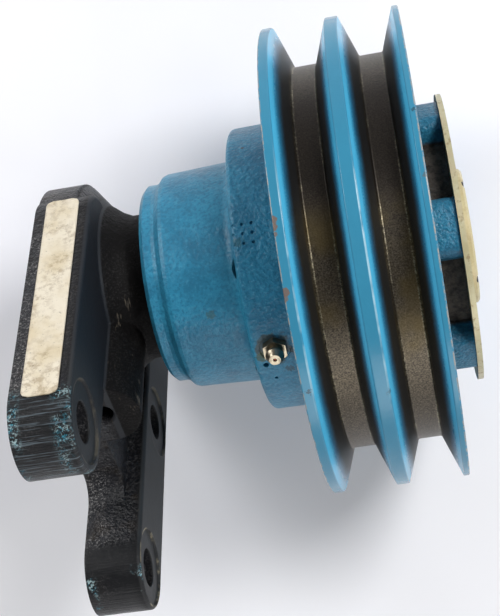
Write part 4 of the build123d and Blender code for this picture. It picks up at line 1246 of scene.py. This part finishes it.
@dataclass
class Studio:
    """Pale floor, pale walls, soft lamps and the camera."""

    lens: float = 75.8
    sensor: float = 36.0
    clip: Span = (0.01, 50.0)
    eye: Place = (0.1346, -0.0144, 0.4958)
    right: Place = (0.97980, -0.15325, -0.12849)
    up: Place = (0.15195, 0.98819, -0.01993)
    ahead: Place = (-0.13003, 0.0, -0.99151)
    lamps: tuple[Lamp, ...] = (
        Lamp("key", (0.62, 0.30, 0.78), 0.34, 7.6),
        Lamp("low", (0.15, -0.80, 0.40), 0.5, 2.4),
        Lamp("left", (-0.64, 0.48, 0.60), 0.5, 4.8),
    )
    pale: Colour = shade(246, 246, 250)
    ceiling: float = 0.14
    walls: float = 0.76
    backdrop: float = 0.85
    ceiling_rise: Span = (0.1, 0.8)
    half_floor: float = 3.0
    floor_cells: int = 60
    floor_gap: float = 0.1 * MM
    floor_fade: Span = (0.45, 1.0)

    def build(self) -> None:
        """Set up the stage and the view transform."""
        scene = bpy.context.scene
        scene.view_settings.view_transform = "Standard"
        self.floor()
        self.world()
        for lamp in self.lamps:
            lamp.hang()
        data = bpy.data.cameras.new("camera")
        data.lens = self.lens
        data.sensor_width = self.sensor
        data.clip_start, data.clip_end = self.clip
        camera = placed("camera", data)
        turn = Matrix((self.right, self.up, tuple(-a for a in self.ahead))).transposed()
        camera.matrix_world = Matrix.Translation(self.eye) @ turn.to_4x4()
        scene.camera = camera

    def floor(self) -> None:
        """Lay a pale sheet under the object, faintly uneven."""
        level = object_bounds()[0].z
        mesh = bmesh.new()
        bmesh.ops.create_grid(mesh, x_segments=self.floor_cells, y_segments=self.floor_cells,
                              size=self.half_floor)
        for vert in mesh.verts:
            vert.co.z = level - self.floor_gap
        data = bpy.data.meshes.new("floor")
        mesh.to_mesh(data)
        mesh.free()
        floor = placed("floor", data)
        g = Graph("floor")
        tint = g.mix(g.fade(g.noise(0.16, 3.0), 0.4, 0.7), self.pale, shade(238, 238, 244))
        normal = g.relief(g.noise(0.05, 2.0), 0.6 * MM, 0.25)
        data.materials.append(g.dress(tint, 0.75, 0.0, normal))
        self.fade_out(g)
        floor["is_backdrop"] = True

    def fade_out(self, g: Graph) -> None:
        """Let the far floor show the pale wall's colour; the light that it sends on stays.

        Args:
            g: The floor's graph.
        """
        far = g.fade(g.length(g.x, g.y), *self.floor_fade)
        pale = g.node("Emission")
        g.feed(pale.inputs["Color"], self.pale)
        g.feed(pale.inputs["Strength"], self.backdrop)
        blend = g.node("MixShader")
        g.feed(blend.inputs[0], g.both(background_rays(g.tree), far))
        g.feed(blend.inputs[1], g.shader.outputs["BSDF"])
        g.feed(blend.inputs[2], pale.outputs[0])
        g.feed(g.output.inputs["Surface"], blend.outputs[0])

    def world(self) -> None:
        """Light the room from its walls more than its ceiling, and show a pale wall."""
        world = bpy.data.worlds.new("room")
        bpy.context.scene.world = world
        world.use_nodes = True
        tree = world.node_tree
        tree.nodes.clear()
        output = tree.nodes.new("ShaderNodeOutputWorld")
        ways = tree.nodes.new("ShaderNodeTexCoord")
        split = tree.nodes.new("ShaderNodeSeparateXYZ")
        tree.links.new(ways.outputs["Generated"], split.inputs[0])
        mix = tree.nodes.new("ShaderNodeMixShader")
        tree.links.new(background_rays(tree), mix.inputs[0])
        parts = ((self.walls, (1.0, 1.0, 1.0)), (self.backdrop, self.pale))
        for socket, (low, tint) in zip((mix.inputs[1], mix.inputs[2]), parts):
            rise = tree.nodes.new("ShaderNodeMapRange")
            rise.interpolation_type = "SMOOTHSTEP"
            tree.links.new(split.outputs["Z"], rise.inputs["Value"])
            rise.inputs["From Min"].default_value = self.ceiling_rise[0]
            rise.inputs["From Max"].default_value = self.ceiling_rise[1]
            rise.inputs["To Min"].default_value = low
            rise.inputs["To Max"].default_value = self.ceiling
            glow = tree.nodes.new("ShaderNodeBackground")
            glow.inputs["Color"].default_value = (*tint, 1.0)
            tree.links.new(rise.outputs["Result"], glow.inputs["Strength"])
            tree.links.new(glow.outputs[0], socket)
        tree.links.new(mix.outputs[0], output.inputs["Surface"])


def background_rays(tree: bpy.types.NodeTree) -> Socket:
    """Tell the rays that show the background, straight or mirrored, from those that light.

    Args:
        tree: The node tree that asks.

    Returns:
        A socket that is 1 for camera, glossy and transmission rays.
    """
    path = tree.nodes.new("ShaderNodeLightPath")
    share = path.outputs["Is Camera Ray"]
    for kind in ("Is Glossy Ray", "Is Transmission Ray"):
        most = tree.nodes.new("ShaderNodeMath")
        most.operation = "MAXIMUM"
        tree.links.new(share, most.inputs[0])
        tree.links.new(path.outputs[kind], most.inputs[1])
        share = most.outputs[0]
    return share


def main() -> None:
    """Load the frame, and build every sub-assembly in order."""
    logging.basicConfig(level=logging.INFO, format="%(message)s")
    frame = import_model()
    wardrobe = Wardrobe(frame["nodes"])
    Studio().build()
    Bracket(wardrobe).build()
    SheaveRotor(wardrobe).build()
    FanDrive(wardrobe).build()
    Internals(wardrobe).build()


if __name__ == "__main__":
    main()
